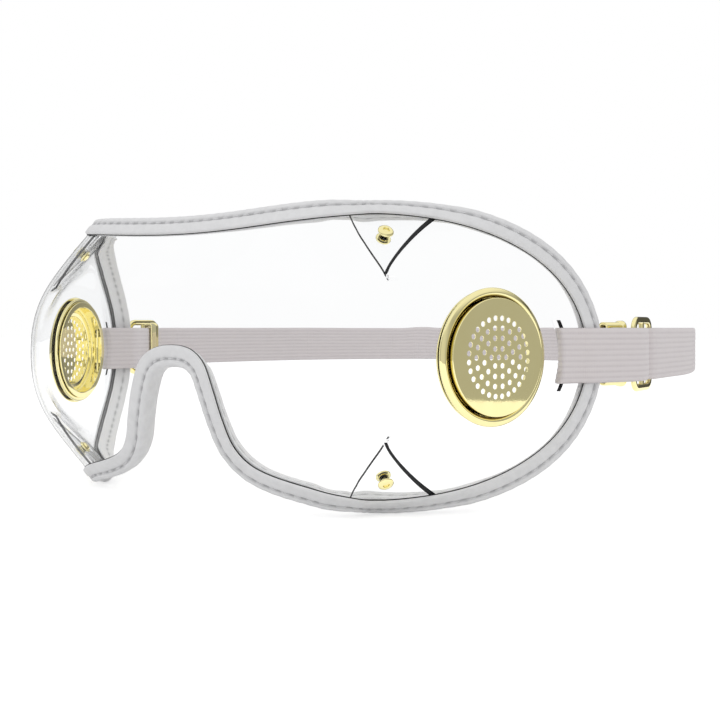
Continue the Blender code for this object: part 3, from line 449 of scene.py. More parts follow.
@dataclass(frozen=True)
class Axis:
    """A place with a direction, and two directions square to it."""

    place: Array
    ahead: Array

    @property
    def across(self) -> Array:
        """Third direction, square to ahead and up."""
        return unit(np.cross(self.ahead, self.level))

    @property
    def level(self) -> Array:
        """Up direction, made square to ahead."""
        return unit(UP - self.ahead * (UP @ self.ahead))

    def turned(self, name: str, outline: Array, sides: int, material: Material,
               recess: Array | None = None) -> Piece:
        """Turn an outline about the axis: radius times a direction round it, plus height along it.

        An outline that starts on the axis gives a full piece, and any other gives a ring.

        Args:
            name: Piece name.
            outline: Radius and height of each point.
            sides: Sides of the full turn.
            material: Its finish.
            recess: How recessed each outline point is, kept as a mark that sets painted shade.

        Returns:
            The object.
        """
        turn = even_turn(sides)
        round_it = np.cos(turn)[:, None] * self.level + np.sin(turn)[:, None] * self.across
        radius, height = outline[:, 0, None, None], outline[:, 1, None, None]
        points = self.place + radius * round_it[None] + height * self.ahead
        quads = grid_quads(len(outline), sides, outline[0, 0] > 0.0, True)
        marks = None if recess is None else {"recess": np.repeat(recess, sides)}
        return mesh_object(name, points, quads.tolist(), [material], marks)

    def pegs(self, name: str, centres: Array, radius: float, depth: float, sides: int,
             material: Material) -> Piece:
        """Round pegs along the axis as one cutter: circles at both depths, joined and capped.

        Args:
            name: Cutter name.
            centres: Place of each peg across the axis.
            radius: Peg radius.
            depth: Half of a peg's length.
            sides: Sides of a peg.
            material: Finish that the cut faces take.

        Returns:
            The cutter.
        """
        turn = even_turn(sides)
        ring = np.asarray(centres)[:, None] + radius * np.stack([np.sin(turn), np.cos(turn)], -1)
        flat = ring[..., :1] * self.across + ring[..., 1:] * self.level
        ends = np.array([-depth, depth])[None, :, None, None] * self.ahead
        points = self.place + flat[:, None] + ends
        start = np.arange(len(points))[:, None] * 2 * sides
        walls = (grid_quads(2, sides, False, True)[None] + start[..., None]).reshape(-1, 4)
        caps = np.concatenate([start + np.arange(sides), start + sides + np.arange(sides)])
        return mesh_object(name, points, walls.tolist() + caps.tolist(), [material])


# Finishes


class ShaderGraph:
    """A material's or a world's nodes, added and linked with short calls."""

    def __init__(self, owner: Any) -> None:
        """Find the owner's output and the shader that it starts with."""
        owner.use_nodes = True
        self.tree = owner.node_tree
        self.output = next(item for item in self.tree.nodes if "Output" in item.bl_idname)
        self.shader = self.output.inputs["Surface"].links[0].from_node

    def node(self, kind: str, inputs: dict[str, Any] | None = None, **settings: Any) -> Any:
        """Add a node, set its options, and set or link its inputs.

        Args:
            kind: Blender's type name of the node.
            inputs: Values or sockets for its inputs, by name or by number.
            settings: Options of the node.

        Returns:
            The node.
        """
        item = self.tree.nodes.new(kind)
        for option, value in settings.items():
            setattr(item, option, value)
        self.feed(item, inputs or {})
        return item

    def feed(self, item: Any, inputs: dict[Any, Any]) -> None:
        """Set or link a node's inputs."""
        for name, value in inputs.items():
            if isinstance(value, bpy.types.NodeSocket):
                self.tree.links.new(value, item.inputs[name])
            else:
                item.inputs[name].default_value = value

    def object_place(self, scale: float) -> Any:
        """Object coordinates times a scale, in pattern units to the metre."""
        place = self.node("ShaderNodeTexCoord").outputs["Object"]
        mapping = self.node("ShaderNodeMapping", {"Vector": place, "Scale": (scale,) * 3})
        return mapping.outputs["Vector"]

    def noise(self, scale: float, detail: float = 3.0) -> Any:
        """Factor of a noise whose lumps number the scale to the metre."""
        inputs = {"Vector": self.object_place(scale), "Scale": 1.0, "Detail": detail}
        return self.node("ShaderNodeTexNoise", inputs).outputs["Fac"]

    def math(self, operation: str, first: Any, second: Any = 0.5) -> Any:
        """Result of a Math node on two values or sockets."""
        return self.node("ShaderNodeMath", {0: first, 1: second}, operation=operation).outputs[0]

    def span(self, value: Any, low: float, high: float) -> Any:
        """A factor carried to the range from low to high, with clamped ends."""
        inputs = {"Value": value, "From Min": 0.3, "From Max": 0.7, "To Min": low, "To Max": high}
        return self.node("ShaderNodeMapRange", inputs).outputs["Result"]

    def blend(self, factor: Any, first: Any, second: Any) -> Any:
        """Colour between two by a factor. Each is a colour or a socket."""
        start, end = (
            colour if isinstance(colour, bpy.types.NodeSocket) else (*colour, 1.0)
            for colour in (first, second))
        inputs = {0: factor, 6: start, 7: end}
        return self.node("ShaderNodeMix", inputs, data_type="RGBA").outputs[2]

    def either(self, factor: Any, first: Any, second: Any) -> Any:
        """Node that mixes two shader nodes by a factor."""
        inputs = {0: factor, 1: first.outputs[0], 2: second.outputs[0]}
        return self.node("ShaderNodeMixShader", inputs)

    def surface(self, shader: Any) -> None:
        """Link a shader node to the output."""
        self.feed(self.output, {"Surface": shader.outputs[0]})

    def seen(self) -> Any:
        """1 on rays that show a picture: from the camera, off a mirror or through glass."""
        rays = self.node("ShaderNodeLightPath").outputs
        either = self.math("MAXIMUM", rays["Is Camera Ray"], rays["Is Glossy Ray"])
        return self.math("MAXIMUM", either, rays["Is Transmission Ray"])

    def mark(self, name: str) -> Any:
        """A value that the piece keeps for each of its points."""
        return self.node("ShaderNodeAttribute", attribute_name=name).outputs["Fac"]

    def bump(self, height: Any, depth: float, strength: float = 1.0) -> None:
        """Raise the surface by a height of 0 to 1 times a depth in metres."""
        inputs = {"Height": height, "Distance": depth, "Strength": strength}
        normal = self.node("ShaderNodeBump", inputs).outputs["Normal"]
        self.feed(self.shader, {"Normal": normal})


class Finish:
    """A named material, whose nodes each kind of finish wires in its own way."""

    name: str

    def wire(self, graph: ShaderGraph) -> None:
        """Wire the nodes."""
        raise NotImplementedError

    def make(self) -> Material:
        """Make the material."""
        material = bpy.data.materials.new(self.name)
        self.wire(ShaderGraph(material))
        return material


@dataclass(frozen=True)
class ClearSheetFinish(Finish):
    """Glossy clear plastic sheet with painted grey shade edge-on, which lets lamps shine through.
    """

    name: str = "clear_plastic_sheet"
    tint: Triple = (0.985, 0.988, 0.99)
    hazed: Triple = (0.97, 0.975, 0.98)
    unseen_tint: Triple = (0.985, 0.985, 0.985)
    grazing_power: float = 8.0
    rim: Triple = (0.24, 0.245, 0.25)
    roughness: float = 0.012
    ior: float = 1.15

    def wire(self, graph: ShaderGraph) -> None:
        """Wire the nodes."""
        haze = graph.noise(90.0)
        facing = graph.node("ShaderNodeLayerWeight", {"Blend": 0.5}).outputs["Facing"]
        grazing = graph.math("POWER", facing, self.grazing_power)
        graph.feed(graph.shader, {
            "Base Color": graph.blend(haze, self.tint, self.hazed),
            "Roughness": graph.span(haze, self.roughness / 2, self.roughness * 2),
            "IOR": self.ior, "Transmission Weight": 1.0,
        })
        # Painted shade: a grey diffuse layer mixed in where the sheet is seen edge-on.
        edge_on_shade = graph.node("ShaderNodeBsdfDiffuse", {"Color": (*self.rim, 1.0)})
        sheet = graph.either(grazing, graph.shader, edge_on_shade)
        rays = graph.node("ShaderNodeLightPath").outputs
        through = graph.math("MAXIMUM", rays["Is Shadow Ray"], rays["Is Diffuse Ray"])
        clear = graph.node("ShaderNodeBsdfTransparent", {"Color": (*self.unseen_tint, 1.0)})
        graph.surface(graph.either(through, sheet, clear))


@dataclass(frozen=True)
class CutEdgeFinish(Finish):
    """Sawn edge of the clear sheet, painted nearly black as shade for the light that it traps."""

    name: str = "sheet_cut_edge"
    colour: Triple = (0.008, 0.008, 0.009)
    streak: Triple = (0.025, 0.026, 0.028)
    relief: float = 0.02 * MM

    def wire(self, graph: ShaderGraph) -> None:
        """Wire the nodes."""
        streaks = graph.noise(2500.0)
        graph.feed(graph.shader, {
            "Base Color": graph.blend(streaks, self.colour, self.streak),
            "Roughness": graph.span(streaks, 0.35, 0.6), "Specular IOR Level": 0.2,
        })
        graph.bump(streaks, self.relief)


@dataclass(frozen=True)
class ClearEdgeFinish(Finish):
    """Edge of the sheet rubbed clear, which neither bends light nor mirrors the room."""

    name: str = "sheet_clear_edge"
    tint: Triple = (0.95, 0.955, 0.96)
    hazed: Triple = (0.93, 0.935, 0.94)

    def wire(self, graph: ShaderGraph) -> None:
        """Wire the nodes."""
        tint = graph.blend(graph.noise(90.0), self.tint, self.hazed)
        graph.surface(graph.node("ShaderNodeBsdfTransparent", {"Color": tint}))


@dataclass(frozen=True)
class VinylFinish(Finish):
    """Soft white vinyl with a fine grain, and painted shade where the seam dips between stitches.
    """

    name: str = "grained_white_vinyl"
    colour: Triple = (0.85, 0.85, 0.86)
    worn: Triple = (0.72, 0.72, 0.73)
    # Painted shade colour for the stitch line.
    seam: Triple = (0.36, 0.36, 0.37)
    grain: float = 1500.0
    relief: float = 0.09 * MM

    def wire(self, graph: ShaderGraph) -> None:
        """Wire the nodes."""
        patches = graph.noise(420.0, 4.0)
        vinyl = graph.blend(patches, self.colour, self.worn)
        body = graph.blend(graph.mark("groove"), vinyl, self.seam)
        cells = graph.node("ShaderNodeTexVoronoi", {
            "Vector": graph.object_place(self.grain), "Scale": 1.0, "Randomness": 0.9,
        }).outputs["Distance"]
        creases = graph.noise(500.0, 4.0)
        graph.feed(graph.shader, {
            "Base Color": body, "Roughness": graph.span(patches, 0.42, 0.58),
        })
        graph.bump(graph.math("ADD", cells, creases), self.relief, 0.8)


@dataclass(frozen=True)
class FoamFinish(Finish):
    """Brushed cloth on foam, white, with a fine nap."""

    name: str = "cloth_faced_foam"
    colour: Triple = (0.95, 0.95, 0.955)
    shade: Triple = (0.91, 0.91, 0.915)
    # Painted shade colour for the dashed seam line on the pad's inner slope.
    seam: Triple = (0.34, 0.34, 0.35)
    relief: float = 0.12 * MM

    def wire(self, graph: ShaderGraph) -> None:
        """Wire the nodes."""
        nap = graph.noise(2600.0, 5.0)
        patches = graph.noise(160.0)
        cloth = graph.blend(patches, self.colour, self.shade)
        body = graph.blend(graph.mark("groove"), cloth, self.seam)
        graph.feed(graph.shader, {
            "Base Color": body,
            "Roughness": graph.span(nap, 0.85, 1.0), "Sheen Weight": 0.3,
        })
        graph.bump(nap, self.relief, 0.7)


@dataclass(frozen=True)
class WebbingFinish(Finish):
    """Ribbed elastic: fine cross threads over the ribs, with painted shade in the valleys between
    them.
    """

    name: str = "ribbed_elastic"
    colour: Triple = (0.75, 0.70, 0.705)
    valley: Triple = (0.66, 0.61, 0.62)
    thread_pitch: float = 0.55 * MM
    relief: float = 0.05 * MM

    def wire(self, graph: ShaderGraph) -> None:
        """Wire the nodes."""
        phase = graph.math("MULTIPLY", graph.mark("along"), 2 * math.pi / self.thread_pitch)
        threads = graph.math("MULTIPLY_ADD", graph.math("SINE", phase), 0.5)
        patches = graph.noise(260.0, 4.0)
        # Painted shade in the valleys between the ribs.
        lines = graph.math("MULTIPLY", graph.mark("valley"), graph.span(patches, 0.7, 1.0))
        graph.feed(graph.shader, {
            "Base Color": graph.blend(lines, self.colour, self.valley),
            "Roughness": graph.span(patches, 0.75, 0.95), "Sheen Weight": 0.25,
        })
        graph.bump(graph.math("ADD", threads, patches), self.relief, 0.6)


@dataclass(frozen=True)
class ThreadFinish(Finish):
    """Twisted white sewing thread, a shade greyer than the vinyl."""

    name: str = "white_sewing_thread"
    colour: Triple = (0.76, 0.76, 0.77)
    shade: Triple = (0.64, 0.64, 0.65)
    relief: float = 0.04 * MM

    def wire(self, graph: ShaderGraph) -> None:
        """Wire the nodes."""
        twist = graph.noise(3200.0, 2.0)
        graph.feed(graph.shader, {
            "Base Color": graph.blend(twist, self.colour, self.shade),
            "Roughness": graph.span(twist, 0.6, 0.85), "Sheen Weight": 0.2,
        })
        graph.bump(twist, self.relief)


@dataclass(frozen=True)
class BrassFinish(Finish):
    """Polished brass with faint polishing marks and haze, and painted shade where it is recessed.
    """

    name: str = "polished_gold_brass"
    colour: Triple = (0.96, 0.88, 0.48)
    deep: Triple = (0.91, 0.82, 0.42)
    recess_shade: Triple = (0.13, 0.08, 0.03)
    roughness: float = 0.03
    relief: float = 0.002 * MM

    def wire(self, graph: ShaderGraph) -> None:
        """Wire the nodes."""
        haze = graph.noise(220.0, 4.0)
        marks = graph.noise(2400.0, 2.0)
        brass = graph.blend(haze, self.colour, self.deep)
        # Painted shade in the groove round the vent's cup.
        body = graph.blend(graph.mark("recess"), brass, self.recess_shade)
        graph.feed(graph.shader, {
            "Base Color": body, "Metallic": 1.0,
            "Roughness": graph.span(haze, self.roughness * 0.6, self.roughness * 1.5),
        })
        graph.bump(marks, self.relief, 0.4)


@dataclass
class Finishes:
    """The goggles' materials, made once."""

    sheet: Material = field(default_factory=ClearSheetFinish().make)
    cut_edge: Material = field(default_factory=CutEdgeFinish().make)
    clear_edge: Material = field(default_factory=ClearEdgeFinish().make)
    vinyl: Material = field(default_factory=VinylFinish().make)
    foam: Material = field(default_factory=FoamFinish().make)
    webbing: Material = field(default_factory=WebbingFinish().make)
    thread: Material = field(default_factory=ThreadFinish().make)
    brass: Material = field(default_factory=BrassFinish().make)


def settle(piece: Piece, body: str, slot: Slot, *nodes: str) -> None:
    """Ride a piece on its body, hide the solids that it stands for, and log it with their names."""
    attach(piece, body)
    stand_in(piece, slot, *nodes)


def stand_in(piece: Piece, slot: Slot, *nodes: str) -> None:
    """Hide the solids that a piece stands for, and log it with their names."""
    if nodes:
        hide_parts(*nodes)
    purpose = ", ".join(nodes) or "trim"
    LOG.info("%s: %d faces, for %s", piece.name, len(piece.data.polygons), purpose)


# The sheet's surface


@dataclass
class SheetForm:
    """The bent sheet: a plan curve at mid height whose upper and lower edges fall back."""

    thickness: float = 0.8 * MM
    front_run: float = 53.0 * MM
    corner_radius: float = 19.0 * MM
    side_run: float = 28.8 * MM
    temple_run: float = 35.4 * MM
    front_heading: float = math.radians(-1.5)
    side_heading: float = math.radians(67.5)
    temple_heading: float = math.radians(62.5)
    corner_ease: float = 4.0 * MM
    fall_height: float = 38.5 * MM
    fall_power: float = 2.3
    front_fall: float = 8.5 * MM
    corner_fall: float = 19.5 * MM
    corner_fall_spread: float = 15.0 * MM
    side_fall: float = 20.0 * MM
    side_fall_shares: tuple = (
        (-1.46, 1.0), (-0.97, 0.975), (-0.65, 0.8), (-0.42, 0.6), (-0.17, 0.435),
        (0.17, 0.35), (0.45, 0.225), (0.71, 0.125), (0.97, 0.025), (1.4, 0.0),
    )
    corner_blend: float = 5.0 * MM
    softening: float = 9.0 * MM
    softening_start: float = 12.0 * MM
    softening_fade: float = 22.0 * MM
    softening_weights: tuple = (
        (-1.5, 0.09), (-1.0, 0.15), (-0.5, 0.18), (0.0, 0.16),
        (0.5, 0.18), (1.0, 0.15), (1.5, 0.09),
    )
    vent_radius: float = 19.0 * MM
    vent_flat_margin: float = 3.0 * MM
    vent_flat_fade: float = 9.0 * MM
    slope_step: float = 0.2 * MM
    run_margin: float = 10 * MM
    run_points: int = 1200

    def __post_init__(self) -> None:
        """Sum the heading's sine and cosine along the run to get the plan curve."""
        turn = self.side_heading - self.front_heading
        self.corner_run = self.corner_radius * turn
        self.corner_end = self.front_run + self.corner_run
        self.vent_run = self.corner_end + self.side_run
        self.sight_end = self.vent_run + self.temple_run
        rate = turn / self.corner_run
        ease = self.corner_ease
        self.runs = np.linspace(0.0, self.sight_end + self.run_margin, self.run_points)
        stations = (
            0.0, self.front_run - ease, self.front_run + ease, self.corner_end - ease,
            self.corner_end + ease, self.vent_run, self.sight_end)
        headings = (
            self.front_heading, self.front_heading, self.front_heading + rate * ease,
            self.side_heading - rate * ease, self.side_heading, self.side_heading,
            self.temple_heading)
        self.headings = np.interp(self.runs, stations, headings)
        mean = (self.headings[1:] + self.headings[:-1]) / 2
        step = self.runs[1]
        self.xs = np.concatenate([[0.0], np.cumsum(np.cos(mean)) * step])
        ys = np.concatenate([[0.0], np.cumsum(np.sin(mean)) * step])
        self.ys = ys - np.interp(self.vent_run, self.runs, ys)
        self.vent_centre = np.array([np.interp(self.vent_run, self.runs, self.xs), 0.0, 0.0])
        self.vent_axis = np.array([math.sin(self.side_heading), -math.cos(self.side_heading), 0.0])

    @property
    def seat(self) -> float:
        """Height over the sheet's middle at which a piece lies clear of its face."""
        return self.thickness / 2 + CLEARANCE

    def edge_fall(self, run: Array) -> Array:
        """How far the edges lie behind the mid line: a bell at the corner, a table at the side."""
        middle = self.front_run + self.corner_run / 2
        bell = np.exp(-((run - middle) / self.corner_fall_spread) ** 2)
        front = self.front_fall + (self.corner_fall - self.front_fall) * bell
        shares, falls = np.array(self.side_fall_shares).T
        side = self.side_fall * np.interp(run, self.vent_run + shares * self.side_run, falls)
        blend = smooth_share((run - middle + self.corner_blend) / (2 * self.corner_blend))
        return front * (1 - blend) + side * blend

    def raw_points(self, run: Array, height: Array) -> Array:
        """Plan curve at the run, moved back square to it by the fall times a power of height."""
        reach = np.abs(run)
        heading = np.interp(reach, self.runs, self.headings)
        fall = self.edge_fall(reach) * (np.abs(height) / self.fall_height) ** self.fall_power
        x = np.interp(reach, self.runs, self.xs) - np.sin(heading) * fall
        y = np.interp(reach, self.runs, self.ys) + np.cos(heading) * fall
        return np.stack([np.copysign(x, run), y, height + 0.0 * x], axis=-1)

    def points(self, run: Array, height: Array) -> Array:
        """Points on the sheet's middle: raw points averaged along the run, flat round the vents.

        Args:
            run: Signed runs from the centre, at mid height.
            height: Heights.

        Returns:
            Places in metres.
        """
        run, height = np.asarray(run, dtype=float), np.asarray(height, dtype=float)
        spread = self.softening * smooth_share(
            (np.abs(height) - self.softening_start) / self.softening_fade)
        points = sum(
            weight * self.raw_points(run + offset * spread, height)
            for offset, weight in self.softening_weights)
        sign = np.where(run < 0, -1.0, 1.0)
        points[..., 0] *= sign
        offset = points - self.vent_centre
        lift = offset @ self.vent_axis
        radius = np.sqrt(np.maximum((offset ** 2).sum(axis=-1) - lift ** 2, 0.0))
        past = (radius - self.vent_radius - self.vent_flat_margin) / self.vent_flat_fade
        points = points - self.vent_axis * (lift * (1 - smooth_share(past)))[..., None]
        points[..., 0] *= sign
        return points

    def slopes(self, run: Array, height: Array) -> tuple[Array, Array]:
        """Change of the point with run and with height, by central differences."""
        step = self.slope_step
        along = self.points(run + step, height) - self.points(run - step, height)
        up = self.points(run, height + step) - self.points(run, height - step)
        return along / (2 * step), up / (2 * step)

    def normals(self, run: Array, height: Array) -> Array:
        """Outward normals: the cross product of the two slopes."""
        along, up = self.slopes(run, height)
        return unit(np.cross(along, up))

    def vent_axis_of(self, side: Side) -> Axis:
        """Axis of a side's vent, from the middle of the sheet outwards."""
        return Axis(self.vent_centre * side.flip, self.vent_axis * side.flip)


@dataclass
class SightLine:
    """Inner edge of the binding, drawn on the sheet as runs and heights."""

    form: SheetForm
    lobe_start: float = 79.0 * MM
    lobe_half_height: float = 38.9 * MM
    brow_height: float = 35.3 * MM
    nose_top: float = 3.0 * MM
    nose_foot: float = -29.0 * MM
    nose_half_width: float = 24.5 * MM
    nose_shares: tuple = (
        (0.0, 0.0), (0.17, 0.01), (0.35, 0.055), (0.515, 0.17),
        (0.637, 0.395), (0.735, 0.64), (0.833, 0.853), (1.0, 1.0),
    )
    cheek_shares: tuple = ((0.116, 0.295), (0.327, 0.585), (0.48, 0.78), (0.725, 0.95), (1.0, 1.0))
    cover: float = 3.4 * MM
    brow_points: int = 60
    lobe_points: int = 120
    lower_steps: int = 16

    def half(self) -> Array:
        """Right half, from the brow round a half-ellipse lobe to the nose's smooth curve."""
        run = np.linspace(0.0, self.lobe_start, self.brow_points, endpoint=False)
        rise = (1 - np.cos(np.pi * run / self.lobe_start)) / 2
        brow = np.stack(
            [run, self.brow_height + (self.lobe_half_height - self.brow_height) * rise], -1)
        angle = np.linspace(math.pi / 2, -math.pi / 2, self.lobe_points, endpoint=False)
        lobe = np.stack([
            self.lobe_start + (self.form.sight_end - self.lobe_start) * np.cos(angle),
            self.lobe_half_height * np.sin(angle)], axis=-1)
        nose = np.array(self.nose_shares) * (self.nose_half_width, self.nose_foot - self.nose_top)
        cheek = np.array(self.cheek_shares) * (
            self.lobe_start - self.nose_half_width, -self.lobe_half_height - self.nose_foot)
        lower = np.vstack([
            nose + (0.0, self.nose_top), cheek + (self.nose_half_width, self.nose_foot)])
        return np.vstack([brow, lobe, rounded_path(lower, self.lower_steps)[::-1]])

    def closed(self) -> Array:
        """The whole line as a ring without a repeated point."""
        half = self.half()
        return np.vstack([half, half[-2:0:-1] * (-1.0, 1.0)])

    def pushed_out(self, loop: Array, distance: float) -> Array:
        """Move a ring outwards on the sheet by a real distance.

        Each point moves square to the ring, within the sheet: the two slopes are combined so
        that their sum is that move. Round the corner it moves straight along the height.

        Args:
            loop: Runs and heights, starting at the brow.
            distance: Distance in metres.

        Returns:
            The moved runs and heights.
        """
        form, run, height = self.form, loop[:, 0], loop[:, 1]
        points = form.points(run, height)
        tangent = unit(np.roll(points, -1, axis=0) - np.roll(points, 1, axis=0))
        outward = unit(np.cross(form.normals(run, height), tangent))
        outward *= np.sign(outward[0, 2]) * distance
        along, up = form.slopes(run, height)
        shapes = np.stack([along, up], axis=-1)
        square = np.einsum("nki,nkj->nij", shapes, shapes)
        wanted = np.einsum("nki,nk->ni", shapes, outward)
        solved = np.linalg.solve(square, wanted[..., None])[..., 0]
        climb = distance / np.linalg.norm(up, axis=1) * np.sign(height)
        straight = np.stack([0.0 * climb, climb], axis=-1)
        reach = np.abs(run)
        past = smooth_share((reach - form.front_run) / form.corner_blend + 1)
        share = past * (1 - smooth_share((reach - form.vent_run) / form.corner_blend + 1))
        return loop + solved * (1 - share[:, None]) + straight * share[:, None]


@dataclass
class EdgeStations:
    """Even stations round the sheet's edge, each with its outward and forward directions."""

    length: Array
    place: Array
    outward: Array
    ahead: Array
    run: Array

    @classmethod
    def along(cls, sight: SightLine, count: int, smoothing: float) -> "EdgeStations":
        """Set out stations on the sight line and even out their directions.

        The directions are averaged round the ring by damping their short waves.

        Args:
            sight: The sight line.
            count: Number of stations.
            smoothing: Distance over which directions are averaged.

        Returns:
            The stations.
        """
        form = sight.form
        ring = sight.closed()
        ring = np.vstack([ring, ring[:1]])
        solid = form.points(ring[:, 0], ring[:, 1])
        length = path_lengths(solid)
        targets = np.linspace(0.0, length[-1], count, endpoint=False)
        loop = np.stack([np.interp(targets, length, ring[:, k]) for k in range(2)], axis=-1)
        edge = sight.pushed_out(loop, sight.cover)
        waves = np.fft.rfftfreq(count, d=length[-1] / count)
        damping = np.exp(-2 * (np.pi * waves * smoothing) ** 2)[:, None]

        def evened(values: Array) -> Array:
            """Damp the short waves of values round the ring."""
            return np.fft.irfft(np.fft.rfft(values, axis=0) * damping, n=count, axis=0)

        place = form.points(loop[:, 0], loop[:, 1])
        outward = unit(evened(unit(form.points(edge[:, 0], edge[:, 1]) - place)))
        ahead = evened(form.normals(edge[:, 0], edge[:, 1]))
        ahead = unit(ahead - outward * (ahead * outward).sum(axis=1, keepdims=True))
        return cls(targets, place, outward, ahead, np.abs(loop[:, 0]))

    @property
    def total(self) -> float:
        """Length of the whole ring."""
        return float(self.length[-1] + self.length[1])

    def swept(self, section: Array) -> Array:
        """Carry a section of reaches and lifts round the stations."""
        return (
            self.place[:, None] + self.outward[:, None] * section[..., :1]
            + self.ahead[:, None] * section[..., 1:])

    def at(self, distance: Array) -> tuple[Array, Array, Array]:
        """Place, outward and ahead directions at any distances round the ring.

        Args:
            distance: Distances along the ring.

        Returns:
            The three vectors at each distance.
        """
        def read(values: Array) -> Array:
            """Read a vector off the stations."""
            return np.stack([
                np.interp(distance, self.length, column, period=self.total)
                for column in values.T], axis=-1)

        return read(self.place), unit(read(self.outward)), unit(read(self.ahead))


# Lens


@dataclass
class LensSheet:
    """The one-piece lens, with an outer and a hidden flap at each of its four darts."""

    form: SheetForm
    sight: SightLine
    dart_apex_run: float = 72.8 * MM
    dart_apex_height: float = 22.1 * MM
    dart_slit: float = 2.0 * MM
    dart_slit_gap: float = 0.06 * MM
    dart_height: float = 15.0 * MM
    outer_spread: float = 20.0 * MM
    inner_spread: float = 14.0 * MM
    curve_power: float = 1.2
    inner_power: float = 1.35
    flap_fade: float = 11.0 * MM
    shade_stripe_start: float = 1.15 * MM
    shade_stripe_end: float = 1.3 * MM
    rivet_run: float = 76.0 * MM
    rivet_height: float = 33.4 * MM
    rivet_bore: float = 1.3 * MM
    vent_bore: float = 16.45 * MM
    slot_setback: float = 26.8 * MM
    slot_half_height: float = 10.2 * MM
    slot_width: float = 2.4 * MM
    slot_bow_radius: float = 20.0 * MM
    slot_lean: float = 0.75
    slot_cut_depth: float = 1.3 * MM
    slot_points: int = 25
    slit_end: float = 0.08
    seam_rounds: int = 12
    vent_cutter_sides: int = 96
    rivet_cutter_sides: int = 20
    temple_turn: float = math.radians(86)
    front_columns: int = 97
    near_columns: int = 30
    temple_columns: int = 26
    middle_rows: int = 16
    slit_rows: int = 4
    dart_rows: int = 15

    def __post_init__(self) -> None:
        """Find the sheet's upper and lower edges and the rows that meet the darts."""
        half = self.sight.pushed_out(self.sight.closed(), self.sight.cover)[:len(self.sight.half())]
        tip = int(np.argmax(half[:, 0]))
        lower = half[tip:]
        self.upper_edge = half[:tip + 1]
        self.lower_edge = lower[np.argsort(lower[:, 0])]
        self.tip_run = float(half[tip, 0])
        half_height = (self.top(self.dart_apex_run) - self.bottom(self.dart_apex_run)) / 2
        self.root = (self.dart_apex_height - self.dart_slit) / half_height
        self.start = self.dart_apex_height / half_height
        upper = np.concatenate([
            np.linspace(0.0, self.root, self.middle_rows),
            np.linspace(self.root, self.start, self.slit_rows)[1:],
            np.linspace(self.start, 1.0, self.dart_rows)[1:]])
        self.shares = np.concatenate([-upper[:0:-1], upper])
        self.outer_seam = self.seam(self.outer_edge)
        self.inner_seam = self.seam(self.inner_edge)

    def top(self, run: Array) -> Array:
        """Height of the upper edge at a run."""
        return np.interp(np.abs(run), self.upper_edge[:, 0], self.upper_edge[:, 1])

    def bottom(self, run: Array) -> Array:
        """Height of the lower edge at a run."""
        return np.interp(np.abs(run), self.lower_edge[:, 0], self.lower_edge[:, 1])

    def height(self, run: Array, share: Array) -> Array:
        """Height of a row at a run: a share of the way from the middle to an edge."""
        top, bottom = self.top(run), self.bottom(run)
        return (top + bottom) / 2 + (top - bottom) / 2 * share

    def rise(self, height: Array) -> Array:
        """Share of the dart's height that lies below a height."""
        return np.clip((np.abs(height) - self.dart_apex_height) / self.dart_height, 0.0, None)

    def slit(self, rise: Array) -> Array:
        """Half the slit's width, which closes a short way above the apex."""
        return self.dart_slit_gap * (1 - smooth_share(rise / self.slit_end))

    def outer_edge(self, height: Array) -> Array:
        """Run of the outer flap's edge: the apex plus a power of the rise."""
        rise = self.rise(height)
        return self.dart_apex_run - self.slit(rise) + self.outer_spread * rise ** self.curve_power

    def inner_edge(self, height: Array) -> Array:
        """Run of the hidden flap's edge: the apex less a power of the rise."""
        rise = self.rise(height)
        return self.dart_apex_run + self.slit(rise) - self.inner_spread * rise ** self.inner_power

    def seam(self, edge: Any) -> Array:
        """Run of a flap's edge on every row, found by repeating the edge's own formula."""
        run = np.full(self.shares.shape, self.dart_apex_run)
        for _ in range(self.seam_rounds):
            run = edge(self.height(run, self.shares))
        return np.where(np.abs(self.shares) > self.root + SHARE_TOLERANCE, run, self.dart_apex_run)

    def sink(self, run: Array, height: Array) -> Array:
        """How far the side panel passes under the front one, fading out past the outer edge."""
        past = np.abs(height) - (self.dart_apex_height - self.dart_slit)
        ramp = np.clip(past / self.dart_slit, 0.0, 1.0)
        outer = self.dart_apex_run + self.outer_spread * self.rise(height) ** self.curve_power
        fade = 1 - smooth_share((run - outer - self.form.thickness) / self.flap_fade)
        return (self.form.thickness + FLAP_GAP) * ramp * fade

    def front_panel(self) -> Array:
        """Grid of the front: columns lean towards the outer flap's edge near the darts.

        The last but one column on each side lies short of that edge by the width of a dark
        stripe of painted shade, which widens with the dart's rise.
        """
        half = np.linspace(-self.dart_apex_run, self.dart_apex_run, self.front_columns)[:, None]
        start = self.dart_apex_run / 2
        weight = smooth_share((np.abs(half) - start) / start)
        run = half + np.copysign(weight * (self.outer_seam - self.dart_apex_run), half)
        share = self.rise(self.height(run[-1], self.shares))
        width = self.shade_stripe_start + (self.shade_stripe_end - self.shade_stripe_start) * share
        run = np.insert(run, [1, len(run) - 1], [run[0] + width, run[-1] - width], axis=0)
        return self.form.points(run, self.height(run, self.shares))

    def side_panel(self) -> Array:
        """Grid of a side: columns lean towards the hidden flap's edge, and pass under the front."""
        near = np.linspace(
            self.dart_apex_run, self.form.vent_run, self.near_columns, endpoint=False)
        length = self.tip_run - self.sight.lobe_start
        start = math.asin((self.form.vent_run - self.sight.lobe_start) / length)
        turn = np.linspace(start, self.temple_turn, self.temple_columns)
        column = np.concatenate([near, self.sight.lobe_start + length * np.sin(turn)])[:, None]
        weight = 1 - smooth_share(
            (column - self.dart_apex_run) / (self.form.vent_run - self.dart_apex_run))
        run = column + weight * (self.inner_seam - self.dart_apex_run)
        height = self.height(run, self.shares)
        sunk = self.form.normals(run, height) * self.sink(run, height)[..., None]
        return self.form.points(run, height) - sunk

